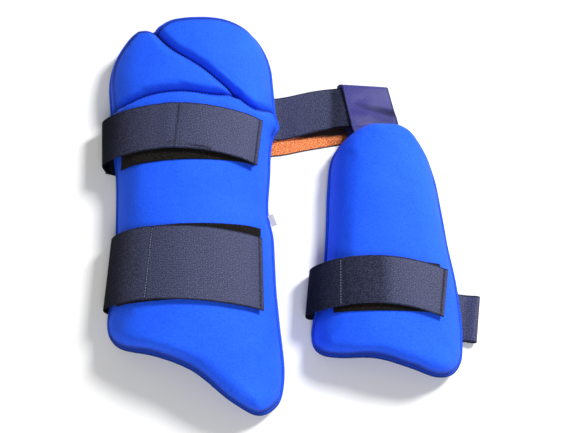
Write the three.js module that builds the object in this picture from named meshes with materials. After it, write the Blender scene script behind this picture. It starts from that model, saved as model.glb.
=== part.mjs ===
import * as THREE from 'three';

// A cricket thigh guard laid out on a flat surface: a large padded guard for the outer thigh and a
// small one for the inner thigh, each an arch resting on its side edges, with elastic leg straps that
// go behind it and come back over its front, and a waist belt that the small guard hangs on.
// Lengths are millimetres, X runs across the guards, Y towards the hip, Z up from the surface.

// Guards: sizes
const outerWidth = 192;
const outerLength = 414;
const outerRise = 33; // height of the arch that the thigh lies in
const outerPadding = 19.5;
const outerSideRounding = 30; // how far in from the seam the padding reaches its full thickness
const outerEndRounding = 13;
const innerWidth = 149;
const innerLength = 259;
const innerRise = 29;
const innerPadding = 17;
const innerSideRounding = 27;
const innerEndRounding = 12;
const innerShiftX = 196.3; // from the large guard's middle to the small one's
const innerShiftY = -42.3;
const panelWall = 2.5;
const seamLip = 2.5; // the back panel's edge outside the padding's seam
const grooveReach = 10; // from a groove's bottom to where the padding is full again
const grooveDepth = 0.5; // share of the padding taken out at a groove's bottom

// Straps and belt: sizes
const elasticWall = 1.6;
const tapeWall = 1.2;
const upperStrapWidth = 50;
const lowerStrapWidth = 73;
const innerStrapWidth = 47;
const beltWidth = 50;
const beltWall = 1.4;
const liningWall = 1;
const hangerWidth = 50;
const hangerWall = 1.3;
const hangerReach = 59; // from the small guard's top end to the hanger's fold
const labelWidth = 6;
const labelLength = 13;
const labelWall = 0.5;

// Clearances
const gap = 0.3; // between two layers of cloth
const facetGap = 0.6; // between a curved guard and the tape sewn on it
const floorGap = 0.6; // between a strap on the surface and the guard's edge above it

const edgeHeight = elasticWall + floorGap; // the back panel's underside at the side edges

// Looks
const blue = { color: 0x2f62e8, roughness: 0.86 };
const panelBlue = { color: 0x2450c8, roughness: 0.88 };
const navy = { color: 0x2f3350, roughness: 0.9 };
const charcoal = { color: 0x1c1b1f, roughness: 0.95 };
const hookBrown = { color: 0x4a3330, roughness: 0.8 };
const orange = { color: 0xf08346, roughness: 0.92 };
const purple = { color: 0x6159a4, roughness: 0.6 };
const white = { color: 0xe9e9ee, roughness: 0.85 };

// The large guard's outline, in shares of half its length and half its width
const outerSides = [
  { along: 0.812, left: -0.976, right: 0.832 },
  { along: 0.705, left: -1.0, right: 0.861 },
  { along: 0.531, left: -0.961, right: 0.896, groove: true },
  { along: 0.454, left: -0.949, right: 0.934 },
  { along: 0.372, left: -0.925, right: 0.861 },
  { along: 0.184, left: -0.851, right: 0.836 },
  { along: -0.01, left: -0.822, right: 0.822 },
  { along: -0.13, left: -0.809, right: 0.877 },
  { along: -0.24, left: -0.79, right: 0.892 },
  { along: -0.4, left: -0.799, right: 0.911 },
  { along: -0.565, left: -0.834, right: 0.947 },
];
const outerHipEnd = [
  { across: -0.91, along: 0.868, mark: 'hipLeft' },
  { across: -0.795, along: 0.932 },
  { across: -0.605, along: 0.967 },
  { across: -0.446, along: 0.963, mark: 'notch' },
  { across: -0.297, along: 1.0 },
  { across: 0.005, along: 1.017 },
  { across: 0.349, along: 1.013 },
  { across: 0.62, along: 0.972, mark: 'hipRight' },
  { across: 0.75, along: 0.905 },
];
const outerKneeEnd = [
  { across: 0.997, along: -0.821 },
  { across: 0.932, along: -0.947, mark: 'kneeRight' },
  { across: 0.755, along: -1.0 },
  { across: 0.495, along: -0.949 },
  { across: 0.099, along: -0.812 },
  { across: -0.266, along: -0.744 },
  { across: -0.661, along: -0.693 },
  { across: -0.786, along: -0.638, mark: 'kneeLeft' },
];

// The three sewn grooves of its hip end meet in one point
const grooveMeeting = { across: 0.464, along: 0.558 };
const grooveFromLeft = [
  { across: -0.755, along: 0.531 },
  { across: -0.453, along: 0.56 },
  { across: -0.12, along: 0.567 },
  { across: 0.25, along: 0.551 },
];
const grooveFromRight = [{ across: 0.68, along: 0.502 }];
const grooveFromNotch = [
  { across: -0.245, along: 0.807 },
  { across: 0.089, along: 0.698 },
  { across: 0.341, along: 0.593 },
];

// The small guard's outline
const innerSides = [
  { along: 0.737, left: -0.717, right: 0.7 },
  { along: 0.52, left: -0.759, right: 0.783 },
  { along: 0.118, left: -0.795, right: 0.866 },
  { along: -0.268, left: -0.853, right: 0.96 },
  { along: -0.578, left: -0.984, right: 0.997 },
  { along: -0.7, left: -0.995, right: 0.992 },
];
const innerHipEnd = [
  { across: -0.66, along: 0.82 },
  { across: -0.507, along: 0.911, mark: 'hipLeft' },
  { across: -0.239, along: 0.995 },
  { across: 0.016, along: 1.0 },
  { across: 0.257, along: 0.996 },
  { across: 0.445, along: 0.95, mark: 'hipRight' },
  { across: 0.592, along: 0.853 },
];
const innerKneeEnd = [
  { across: 0.954, along: -0.867 },
  { across: 0.814, along: -0.971, mark: 'kneeRight' },
  { across: 0.591, along: -1.0 },
  { across: 0.247, along: -0.944 },
  { across: -0.19, along: -0.873 },
  { across: -0.641, along: -0.856 },
  { across: -0.855, along: -0.825, mark: 'kneeLeft' },
  { across: -0.96, along: -0.77 },
];

// Where an edge is lifted by what passes below it: the share along, how far it reaches and how much
const outerLifts = [{ side: 1, along: 0.46, reach: 46, lift: beltWall + 2 * liningWall + 3 * gap + 0.6 }];
const innerLifts = [{ side: 1, along: -0.52, reach: 42, lift: elasticWall + 2 * gap + 0.4 }];

// Small tools for lines and surfaces
function between(a, b, share) {
  return a + (b - a) * share;
}

function lineThrough(points, closed, steps) {
  const curve = new THREE.CatmullRomCurve3(points, closed, 'centripetal');
  const count = (closed ? points.length : points.length - 1) * steps;
  return curve.getPoints(count);
}

function spread(line, shares) {
  const lengths = [0];
  for (let i = 1; i < line.length; i += 1) {
    lengths.push(lengths[i - 1] + line[i].distanceTo(line[i - 1]));
  }
  const whole = lengths[line.length - 1];
  return shares.map((share) => {
    const want = share * whole;
    let i = 1;
    while (i < line.length - 1 && lengths[i] < want) i += 1;
    const part = (want - lengths[i - 1]) / (lengths[i] - lengths[i - 1]);
    return line[i - 1].clone().lerp(line[i], Math.min(1, Math.max(0, part)));
  });
}

// Shares from 0 to 1 that lie closer together at the start, at the end or at both
function shares(count, ease) {
  const list = [];
  for (let i = 0; i <= count; i += 1) {
    const t = i / count;
    const eased = {
      both: 0.5 - 0.5 * Math.cos(Math.PI * t),
      start: 1 - Math.cos(0.5 * Math.PI * t),
      end: Math.sin(0.5 * Math.PI * t),
      none: t,
    }[ease];
    list.push(between(t, eased, 0.72));
  }
  return list;
}

function nearest(line, x, y, closed) {
  let best = { distance: Infinity, dx: 1, dy: 0 };
  const last = closed ? line.length : line.length - 1;
  for (let i = 0; i < last; i += 1) {
    const a = line[i];
    const b = line[(i + 1) % line.length];
    const ex = b.x - a.x;
    const ey = b.y - a.y;
    const span = ex * ex + ey * ey;
    const t = span > 0 ? Math.min(1, Math.max(0, ((x - a.x) * ex + (y - a.y) * ey) / span)) : 0;
    const dx = x - a.x - t * ex;
    const dy = y - a.y - t * ey;
    const distance = Math.hypot(dx, dy);
    if (distance < best.distance) best = { distance, dx, dy };
  }
  return best;
}

function valueAt(rows, key, along) {
  const sorted = rows.filter((row) => row[key] !== undefined).sort((a, b) => a.along - b.along);
  if (along <= sorted[0].along) return sorted[0][key];
  const last = sorted.length - 1;
  if (along >= sorted[last].along) return sorted[last][key];
  let i = 1;
  while (sorted[i].along < along) i += 1;
  const t = (along - sorted[i - 1].along) / (sorted[i].along - sorted[i - 1].along);
  return between(sorted[i - 1][key], sorted[i][key], t * t * (3 - 2 * t));
}

// A Coons patch over four sides, each already spread over the same shares
function patch(bottom, top, left, right, us, vs) {
  const grid = [];
  for (let j = 0; j < vs.length; j += 1) {
    const row = [];
    for (let i = 0; i < us.length; i += 1) {
      const u = us[i];
      const v = vs[j];
      const mix = (key) => between(bottom[i][key], top[i][key], v)
        + between(left[j][key], right[j][key], u)
        - between(
          between(bottom[0][key], bottom[us.length - 1][key], u),
          between(top[0][key], top[us.length - 1][key], u),
          v,
        );
      row.push(new THREE.Vector2(mix('x'), mix('y')));
    }
    grid.push(row);
  }
  return grid;
}

// Collects patches into one sheet of shared corners and triangles
function sheetOf(grids) {
  const corners = [];
  const faces = [];
  const known = new Map();
  const indexOf = (p) => {
    const key = `${Math.round(p.x * 617)},${Math.round(p.y * 617)}`;
    if (!known.has(key)) {
      known.set(key, corners.length);
      corners.push(p);
    }
    return known.get(key);
  };
  for (const grid of grids) {
    for (let j = 0; j + 1 < grid.length; j += 1) {
      for (let i = 0; i + 1 < grid[j].length; i += 1) {
        const a = indexOf(grid[j][i]);
        const b = indexOf(grid[j][i + 1]);
        const c = indexOf(grid[j + 1][i + 1]);
        const d = indexOf(grid[j + 1][i]);
        faces.push([a, b, c], [a, c, d]);
      }
    }
  }
  return { corners, faces: faces.filter(([a, b, c]) => a !== b && b !== c && c !== a) };
}

// The edges that belong to one triangle only, each in the triangle's own direction
function edgeOf(faces) {
  const edges = new Map();
  for (const [a, b, c] of faces) {
    for (const [p, q] of [[a, b], [b, c], [c, a]]) {
      if (!edges.delete(`${q},${p}`)) edges.set(`${p},${q}`, [p, q]);
    }
  }
  return [...edges.values()];
}

// The same sheet with a narrow rim added all round it
function withLip(sheet, lip) {
  const edges = edgeOf(sheet.faces);
  const outward = new Map();
  for (const [p, q] of edges) {
    const way = sheet.corners[q].clone().sub(sheet.corners[p]).normalize();
    for (const end of [p, q]) {
      if (!outward.has(end)) outward.set(end, new THREE.Vector2());
      outward.get(end).add(new THREE.Vector2(way.y, -way.x));
    }
  }
  const corners = [...sheet.corners];
  const rim = new Map();
  for (const [end, way] of outward) {
    rim.set(end, corners.length);
    corners.push(sheet.corners[end].clone().addScaledVector(way.normalize(), lip));
  }
  const faces = [...sheet.faces];
  for (const [p, q] of edges) {
    faces.push([q, p, rim.get(p)], [q, rim.get(p), rim.get(q)]);
  }
  return { corners, faces };
}

function mesh(name, look, positions, faces) {
  const geometry = new THREE.BufferGeometry();
  geometry.setAttribute('position', new THREE.Float32BufferAttribute(positions.flatMap((p) => [p.x, p.y, p.z]), 3));
  geometry.setIndex(faces.flat());
  geometry.computeVertexNormals();
  const material = new THREE.MeshStandardMaterial({ ...look, metalness: 0 });
  const made = new THREE.Mesh(geometry, material);
  made.name = name;
  return made;
}

// A closed solid between an upper and a lower surface over one sheet. Where both surfaces meet at
// the sheet's edge they share that edge, elsewhere a wall joins them.
function solidOver(name, look, sheet, upper, lower) {
  const top = sheet.corners.map((p) => upper(p.x, p.y));
  const bottom = sheet.corners.map((p) => lower(p.x, p.y));
  const meets = top.map((p, i) => p.distanceTo(bottom[i]) < 0.02);
  const under = bottom.map((_, i) => (meets[i] ? i : i + top.length));
  const faces = [];
  for (const [a, b, c] of sheet.faces) {
    faces.push([a, b, c], [under[a], under[c], under[b]]);
  }
  for (const [p, q] of edgeOf(sheet.faces)) {
    if (!meets[p] || !meets[q]) {
      faces.push([q, p, under[p]], [q, under[p], under[q]]);
    }
  }
  return mesh(name, look, [...top, ...bottom], faces.filter(([a, b, c]) => a !== b && b !== c && c !== a));
}

// A flat band swept along stations, each with its middle, the direction across and a tape's offset
function band(name, look, stations, width, wall, offset = 0) {
  const corners = [];
  const count = stations.length;
  stations.forEach((station, i) => {
    const before = stations[Math.max(0, i - 1)].at;
    const after = stations[Math.min(count - 1, i + 1)].at;
    const way = after.clone().sub(before).normalize();
    const across = station.across;
    const up = way.clone().cross(across).normalize();
    for (const [side, level] of [[-1, -1], [1, -1], [1, 1], [-1, 1]]) {
      corners.push(station.at.clone()
        .addScaledVector(across, side * 0.5 * width)
        .addScaledVector(up, offset + level * 0.5 * wall));
    }
  });
  const faces = [[0, 2, 1], [0, 3, 2]];
  for (let i = 0; i + 1 < count; i += 1) {
    for (let k = 0; k < 4; k += 1) {
      const a = 4 * i + k;
      const b = 4 * i + ((k + 1) % 4);
      if (k < 2) faces.push([a, b, b + 4], [a, b + 4, a + 4]);
      else faces.push([a, b, a + 4], [b, b + 4, a + 4]);
    }
  }
  const end = 4 * (count - 1);
  faces.push([end, end + 1, end + 2], [end, end + 2, end + 3]);
  return mesh(name, look, corners, faces);
}

// One guard: its outline with named corners, and its surfaces as heights over the plan
function makeGuard(shape) {
  const halfWidth = shape.width / 2;
  const halfLength = shape.length / 2;
  const rows = [];
  for (const row of shape.hipEnd) rows.push({ ...row });
  for (const row of shape.sides) {
    rows.push({ across: row.right, along: row.along, mark: row.groove ? 'grooveRight' : undefined });
  }
  for (const row of shape.kneeEnd) rows.push({ ...row });
  for (const row of [...shape.sides].reverse()) {
    rows.push({ across: row.left, along: row.along, mark: row.groove ? 'grooveLeft' : undefined });
  }
  const steps = 6;
  const points = rows.map((row) => new THREE.Vector3(row.across * halfWidth, row.along * halfLength, 0));
  const outline = lineThrough(points, true, steps).slice(0, -1);
  const marks = {};
  rows.forEach((row, i) => {
    if (row.mark) marks[row.mark] = i * steps;
  });
  const inset = outline.map((p, i) => {
    const before = outline[(i + outline.length - 1) % outline.length];
    const after = outline[(i + 1) % outline.length];
    const way = after.clone().sub(before).normalize();
    return new THREE.Vector3(p.x + way.y * seamLip, p.y - way.x * seamLip, 0);
  });

  const leftAt = (y) => valueAt(shape.sides, 'left', y / halfLength) * halfWidth;
  const rightAt = (y) => valueAt(shape.sides, 'right', y / halfLength) * halfWidth;
  const archShare = (x, y) => {
    const half = 0.5 * (rightAt(y) - leftAt(y));
    return (x - 0.5 * (rightAt(y) + leftAt(y))) / half;
  };
  const edgeSteepness = Math.hypot(1, (2 * shape.rise) / (0.86 * halfWidth));
  const backHeight = edgeHeight + (panelWall + gap) * edgeSteepness;
  const back = (x, y) => {
    const u = archShare(x, y);
    let height = backHeight + shape.rise * Math.max(0, 1 - u * u);
    for (const lift of shape.lifts) {
      const near = Math.exp(-(((y - lift.along * halfLength) / lift.reach) ** 4));
      height += lift.lift * near * Math.min(1, Math.max(0, 0.5 + 0.5 * u * lift.side)) ** 2;
    }
    return height;
  };
  const steepness = (x, y) => {
    const u = Math.min(1, Math.abs(archShare(x, y)));
    const slope = (2 * shape.rise * u * 2) / (rightAt(y) - leftAt(y));
    return Math.sqrt(1 + slope * slope);
  };
  const grooves = (shape.grooves || []).map((groove) => groove.map(
    (row) => new THREE.Vector3(row.across * halfWidth, row.along * halfLength, 0),
  ));
  const grooveLines = [];
  const front = (x, y) => {
    const near = nearest(inset, x, y, true);
    if (near.distance < 0.01) return back(x, y);
    const sideways = Math.abs(near.dx) / near.distance;
    const rounding = between(shape.endRounding, shape.sideRounding, sideways * sideways);
    const s = Math.min(1, near.distance / rounding);
    let padding = shape.padding * steepness(x, y) * Math.sqrt(1 - (1 - s) * (1 - s));
    for (const line of grooveLines) {
      const d = nearest(line, x, y, false).distance;
      padding *= 1 - grooveDepth * Math.max(0, 1 - d / grooveReach) ** 1.6;
    }
    return back(x, y) + padding;
  };
  const under = (x, y) => back(x, y) - (gap + panelWall) * steepness(x, y);
  return { ...shape, halfWidth, halfLength, outline, inset, marks, leftAt, rightAt, back, front, under, steepness,
    grooves, grooveLines };
}

// The stretch of an outline from one named corner to another, clockwise
function stretch(line, marks, from, to) {
  const list = [];
  let i = marks[from];
  while (i !== marks[to]) {
    list.push(line[i]);
    i = (i + 1) % line.length;
  }
  list.push(line[marks[to]]);
  return list;
}

function backwards(list) {
  return [...list].reverse();
}

// The plain guard: one patch from the knee end to the hip end
function plainSheet(guard, line) {
  const us = shares(14, 'both');
  const vs = shares(16, 'both');
  const side = (from, to, list) => spread(stretch(line, guard.marks, from, to), list);
  const bottom = backwards(side('kneeRight', 'kneeLeft', us));
  const top = side('hipLeft', 'hipRight', us);
  const left = side('kneeLeft', 'hipLeft', vs);
  const right = backwards(side('hipRight', 'kneeRight', vs));
  return sheetOf([patch(bottom, top, left, right, us, vs)]);
}

// The guard with grooves: a body and two hip lobes, whose common sides are the grooves
function groovedSheet(guard, line) {
  const meeting = new THREE.Vector3(grooveMeeting.across * guard.halfWidth, grooveMeeting.along * guard.halfLength, 0);
  const [fromLeft, fromRight, fromNotch] = guard.grooves;
  const at = (mark) => line[guard.marks[mark]];
  const lineLeft = lineThrough([at('grooveLeft'), ...fromLeft, meeting], false, 6);
  const lineRight = lineThrough([meeting, ...fromRight, at('grooveRight')], false, 6);
  const lineNotch = lineThrough([meeting, ...backwards(fromNotch), at('notch')], false, 6);
  const leftShares = shares(12, 'both');
  const rightShares = shares(8, 'both');
  const hipShares = shares(10, 'both');
  const bodyShares = shares(20, 'both');
  const kneeLine = backwards(stretch(line, guard.marks, 'kneeRight', 'kneeLeft'));
  const acrossShare = 0.76;
  const bodyUs = [
    ...leftShares.map((share) => share * acrossShare),
    ...rightShares.slice(1).map((share) => between(acrossShare, 1, share)),
  ];
  const grooveLeft = spread(lineLeft, leftShares);
  const grooveRight = spread(lineRight, rightShares);
  const grooveNotch = spread(lineNotch, hipShares);
  const side = (from, to) => stretch(line, guard.marks, from, to);
  const body = patch(
    spread(kneeLine, bodyUs),
    [...grooveLeft, ...grooveRight.slice(1)],
    spread(side('kneeLeft', 'grooveLeft'), bodyShares),
    spread(backwards(side('grooveRight', 'kneeRight')), bodyShares),
    bodyUs,
    bodyShares,
  );
  const leftLobe = patch(
    grooveLeft,
    spread(side('hipLeft', 'notch'), leftShares),
    spread(side('grooveLeft', 'hipLeft'), hipShares),
    grooveNotch,
    leftShares,
    hipShares,
  );
  const rightLobe = patch(
    grooveRight,
    spread(side('notch', 'hipRight'), rightShares),
    grooveNotch,
    spread(backwards(side('hipRight', 'grooveRight')), hipShares),
    rightShares,
    hipShares,
  );
  return { lines: [lineLeft, lineRight, lineNotch], sheet: sheetOf([body, leftLobe, rightLobe]) };
}

function padOf(name, guard, sheet) {
  const upper = (x, y) => new THREE.Vector3(x, y, guard.front(x, y));
  const lower = (x, y) => new THREE.Vector3(x, y, guard.back(x, y));
  return solidOver(name, blue, sheet, upper, lower);
}

function panelOf(name, guard, sheet) {
  const upper = (x, y) => new THREE.Vector3(x, y, guard.back(x, y) - gap * guard.steepness(x, y));
  const lower = (x, y) => new THREE.Vector3(x, y, guard.under(x, y));
  return solidOver(name, panelBlue, sheet, upper, lower);
}

// A tape sewn flat on a guard's front, between four corners given in the guard's own lengths
function frontTape(name, look, guard, corners) {
  const us = shares(12, 'both');
  const vs = shares(4, 'none');
  const [a, b, c, d] = corners.map(([x, y]) => new THREE.Vector3(x, y, 0));
  const grid = patch(spread([a, b], us), spread([d, c], us), spread([a, d], vs), spread([b, c], vs), us, vs);
  const reach = 1.5;
  const raised = (x, y, lift) => {
    const slopeX = (guard.front(x + reach, y) - guard.front(x - reach, y)) / (2 * reach);
    const slopeY = (guard.front(x, y + reach) - guard.front(x, y - reach)) / (2 * reach);
    const normal = new THREE.Vector3(-slopeX, -slopeY, 1).normalize();
    return new THREE.Vector3(x, y, guard.front(x, y)).addScaledVector(normal, lift);
  };
  const upper = (x, y) => raised(x, y, facetGap + tapeWall);
  const lower = (x, y) => raised(x, y, facetGap);
  return solidOver(name, look, sheetOf([grid]), upper, lower);
}

function leaning(from, to) {
  const way = to.clone().sub(from);
  return new THREE.Vector3(-way.y, way.x, 0).normalize().multiplyScalar(way.x < 0 ? -1 : 1);
}

// A cubic curve from one point to another with given handles
function bend(from, handleA, handleB, to, count) {
  const curve = new THREE.CubicBezierCurve3(from, handleA, handleB, to);
  return curve.getPoints(count);
}

// The stations of a leg strap: behind the guard along the surface, round its left edge and over its
// front to the free end. The hook tape's stations lie below the last part of the front run.
function legStrap(guard, strap) {
  const leftY = strap.leftAlong * guard.halfLength;
  const rightY = strap.rightAlong * guard.halfLength;
  const leftX = Math.min(...[-0.5, -0.25, 0, 0.25, 0.5].map(
    (share) => guard.leftAt(leftY + share * strap.width) - share * strap.width * strap.loopLean,
  ));
  const endX = guard.rightAt(rightY) - strap.endInset;
  const frontY = (x) => {
    const t = (x - leftX) / (endX - leftX);
    return between(leftY, rightY, t) + 4 * strap.bow * t * (1 - t);
  };
  const acrossAt = (x) => {
    const slope = (frontY(x + 1) - frontY(x - 1)) / 2;
    return new THREE.Vector3(-slope * strap.bowLean, 1, 0).normalize();
  };
  const heightAt = (x) => {
    const way = acrossAt(x);
    let highest = 0;
    for (const share of [-0.5, -0.25, 0, 0.25, 0.5]) {
      const reach = share * strap.width;
      highest = Math.max(highest, guard.front(x + way.x * reach, frontY(x) + way.y * reach));
    }
    return highest;
  };
  const stack = facetGap + tapeWall + gap;
  const seamX = endX - strap.hookLength;
  const surface = (x, lift) => {
    const slope = (heightAt(x + 2) - heightAt(x - 2)) / 4;
    const level = Math.hypot(1, slope);
    return new THREE.Vector3(x - (slope / level) * lift, frontY(x), heightAt(x) + lift / level);
  };
  const restLift = (x) => {
    const onHook = Math.min(1, Math.max(0, (x - seamX + 16) / 14));
    return stack + elasticWall / 2 + 0.4 + (tapeWall + gap) * onHook * onHook * (3 - 2 * onHook);
  };

  const landX = leftX + strap.landing;
  const front = [];
  const frontCount = 12;
  for (let i = 0; i <= frontCount; i += 1) {
    const x = between(landX, endX, i / frontCount);
    front.push({ at: surface(x, restLift(x)), across: acrossAt(x) });
  }
  const land = front[0].at;
  const after = front[1].at;
  const slopeWay = after.clone().sub(land).normalize();
  const floorZ = elasticWall / 2;
  const turn = new THREE.Vector3(leftX - strap.reach + elasticWall / 2, frontY(leftX), strap.bulgeHeight);
  const low = new THREE.Vector3(leftX + 1.5, frontY(leftX), floorZ);
  const outward = bend(
    low,
    new THREE.Vector3(between(low.x, turn.x, 0.66), low.y, floorZ),
    new THREE.Vector3(turn.x, low.y, floorZ + 2.2),
    turn,
    8,
  );
  const inward = bend(
    turn,
    turn.clone().add(new THREE.Vector3(0, 0, 0.42 * (land.z - turn.z))),
    land.clone().addScaledVector(slopeWay, -0.42 * strap.landing),
    land,
    7,
  );
  const floorAcross = leaning(
    new THREE.Vector3(leftX, leftY, 0),
    new THREE.Vector3(guard.rightAt(rightY), strap.startAlong * guard.halfLength, 0),
  );
  const loopAcross = new THREE.Vector3(strap.loopLean, 1, 0).normalize();
  const outwards = outward.slice(0, -1).map((at, i) => ({
    at,
    across: floorAcross.clone().lerp(loopAcross, Math.min(1, i / 3)).normalize(),
  }));
  const inwards = inward.slice(0, -1).map((at, i) => ({
    at,
    across: loopAcross.clone().lerp(acrossAt(landX), i / 7).normalize(),
  }));
  const bent = [...outwards, ...inwards];
  const start = strap.start(guard, strap, floorZ, low, floorAcross);
  const floor = start.map((at) => ({ at, across: floorAcross }));
  const hook = front
    .filter((station) => station.at.x > seamX)
    .map((station) => ({ at: station.at.clone(), across: station.across }));
  hook.unshift({ at: surface(seamX, restLift(seamX)), across: acrossAt(seamX) });
  return { elastic: [...floor, ...bent, ...front], hook };
}

// The lowest point of a guard's underside over a strap's width
function lowestUnder(guard, x, y, across, width) {
  let lowest = Infinity;
  for (const share of [-0.5, -0.25, 0, 0.25, 0.5]) {
    lowest = Math.min(lowest, guard.under(x + across.x * share * width, y + across.y * share * width));
  }
  return lowest;
}

// A strap sewn under the back panel near the right edge, coming down to the surface
function startUnderPanel(guard, strap, floorZ, low, across) {
  const startY = strap.startAlong * guard.halfLength;
  const edgeX = guard.rightAt(startY);
  const yAt = (x) => between(low.y, startY, (x - low.x) / (edgeX - low.x));
  const panelAt = (x) => lowestUnder(guard, x, yAt(x), across, strap.width) - gap - elasticWall / 2 - 0.3;
  const list = [];
  for (const [inset, share] of [[10, 1], [16, 1], [24, 1], [34, 0.72], [46, 0.3], [58, 0.06], [70, 0]]) {
    const x = edgeX - inset;
    list.push(new THREE.Vector3(x, yAt(x), Math.max(floorZ, between(floorZ, panelAt(x), share))));
  }
  for (const share of [0.35, 0.7]) {
    const x = between(edgeX - 70, low.x, share);
    list.push(new THREE.Vector3(x, yAt(x), floorZ));
  }
  return list;
}

// A strap sewn under the right edge that first goes out as a loose loop and then back under the guard
function startAsLoop(guard, strap, floorZ, low, across) {
  const startY = strap.startAlong * guard.halfLength;
  const edgeX = guard.rightAt(startY);
  const yAt = (x) => between(low.y, startY, (x - low.x) / (edgeX - low.x));
  const tuckX = edgeX - 9;
  const panel = Math.min(
    lowestUnder(guard, tuckX, yAt(tuckX), across, strap.width),
    lowestUnder(guard, edgeX, yAt(edgeX), across, strap.width),
  ) - gap - elasticWall / 2;
  const place = (x, z) => new THREE.Vector3(x, yAt(x), z);
  const turnX = edgeX + strap.looseReach;
  const turn = place(turnX, 0.5 * (panel + floorZ) + 2.4);
  const upper = bend(place(edgeX + 1, panel), place(edgeX + 8, panel), place(turnX, turn.z + 7), turn, 5);
  const lower = bend(turn, place(turnX, turn.z - 4.5), place(turnX - 5, floorZ), place(edgeX + 2, floorZ), 5);
  const list = [place(tuckX, panel), ...upper, ...lower.slice(1)];
  for (const share of [0.1, 0.4, 0.7]) {
    list.push(place(between(edgeX, low.x, share), floorZ));
  }
  return list;
}

const outer = makeGuard({
  width: outerWidth,
  length: outerLength,
  rise: outerRise,
  padding: outerPadding,
  sideRounding: outerSideRounding,
  endRounding: outerEndRounding,
  sides: outerSides,
  hipEnd: outerHipEnd,
  kneeEnd: outerKneeEnd,
  lifts: outerLifts,
  grooves: [grooveFromLeft, grooveFromRight, grooveFromNotch],
});
const inner = makeGuard({
  width: innerWidth,
  length: innerLength,
  rise: innerRise,
  padding: innerPadding,
  sideRounding: innerSideRounding,
  endRounding: innerEndRounding,
  sides: innerSides,
  hipEnd: innerHipEnd,
  kneeEnd: innerKneeEnd,
  lifts: innerLifts,
});

// The large guard's padding and its thin back panel
function outerGuard() {
  const { lines, sheet } = groovedSheet(outer, outer.inset);
  outer.grooveLines.push(...lines);
  return [
    padOf('outer_pad', outer, sheet),
    panelOf('outer_back_panel', outer, withLip(sheet, seamLip)),
  ];
}

// The small guard's padding and back panel, in its own place
function innerGuard() {
  const sheet = plainSheet(inner, inner.inset);
  return [
    padOf('inner_pad', inner, sheet),
    panelOf('inner_back_panel', inner, withLip(sheet, seamLip)),
  ];
}

// One leg strap with its hook tape and the loop tape that it fastens on
function strapSet(guard, strap, prefix) {
  const made = legStrap(guard, strap);
  const corner = (across, along) => [across * guard.halfWidth, along * guard.halfLength];
  const patchCorners = strap.patch.map((row) => corner(row.across, row.along));
  return [
    band(`${prefix}_strap`, navy, made.elastic, strap.width, elasticWall),
    band(
      `${prefix}_hook_tab`,
      hookBrown,
      made.hook,
      strap.width - 2 * strap.hookInset,
      tapeWall,
      -(elasticWall + tapeWall) / 2 - gap,
    ),
    frontTape(`${prefix}_loop_patch`, charcoal, guard, patchCorners),
  ];
}

// Each strap: where it crosses the left and right edges, how it turns at the left and where it starts
const upperStrap = {
  width: upperStrapWidth,
  leftAlong: 0.338,
  rightAlong: 0.298,
  bow: 7,
  bowLean: 0.45, // how far the strap's end turns with the bow of its front run
  startAlong: 0.125,
  endInset: 15,
  reach: 6.4,
  loopLean: -0.07,
  bulgeHeight: 18,
  landing: 26,
  hookLength: 84,
  hookInset: 1,
  start: startUnderPanel,
  patch: [
    { across: -0.731, along: 0.174 },
    { across: 0.678, along: 0.191 },
    { across: 0.69, along: 0.43 },
    { across: -0.73, along: 0.418 },
  ],
};
const lowerStrap = {
  width: lowerStrapWidth,
  leftAlong: -0.334,
  rightAlong: -0.364,
  bow: 3.5,
  bowLean: -0.25,
  startAlong: -0.33,
  endInset: 16,
  reach: 2.8,
  loopLean: 0.05,
  bulgeHeight: 10,
  landing: 26,
  hookLength: 109,
  hookInset: 1.5,
  start: startUnderPanel,
  patch: [
    { across: -0.682, along: -0.513 },
    { across: 0.735, along: -0.492 },
    { across: 0.74, along: -0.131 },
    { across: -0.69, along: -0.152 },
  ],
};
const innerStrapRow = {
  width: innerStrapWidth,
  leftAlong: -0.354,
  rightAlong: -0.415,
  bow: 8,
  bowLean: 0.45,
  startAlong: -0.52,
  endInset: 22,
  reach: 7.5,
  loopLean: 0.09,
  bulgeHeight: 16,
  landing: 24,
  hookLength: 99,
  hookInset: 1,
  looseReach: 17,
  start: startAsLoop,
  patch: [
    { across: -0.713, along: -0.544 },
    { across: 0.64, along: -0.56 },
    { across: 0.66, along: -0.18 },
    { across: -0.7, along: -0.165 },
  ],
};

// The small white tag in the large guard's right side seam, below its waist
function label() {
  const startY = -0.015 * outer.halfLength;
  const startX = outer.rightAt(startY) - seamLip + 1.2 + labelWidth / 2;
  const way = new THREE.Vector3(0.36, -0.93, 0);
  const lipTop = outer.back(startX - labelWidth / 2, startY) - gap;
  const across = new THREE.Vector3(0.93, 0.36, 0);
  const stations = [0, 0.3, 0.65, 1].map((share, i) => ({
    at: new THREE.Vector3(startX, startY, lipTop + gap + labelWall / 2 + [0.3, 0.6, 1.1, 1.9][i])
      .addScaledVector(way, share * labelLength),
    across,
  }));
  return band('outer_label', white, stations, labelWidth, labelWall);
}

// The belt and the hanger. The belt leaves from under the large guard's hip edge, goes through the
// hanger, turns back at its far side and returns along the surface behind the large guard.
const beltStack = beltWall + gap + liningWall;
const liningOffset = -(beltWall + gap + liningWall) / 2;
const beltTuck = 15;
const hangerTopShift = -14.5; // the hanger's fold lies this far left of the small guard's middle
const hangerFootShift = -4;
const hangerBackShift = -5; // the hanger's back layer lies this much further left than its front
const hangerFoldY = innerShiftY + inner.halfLength + hangerReach;
const hangerTopX = innerShiftX + hangerTopShift;

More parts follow.
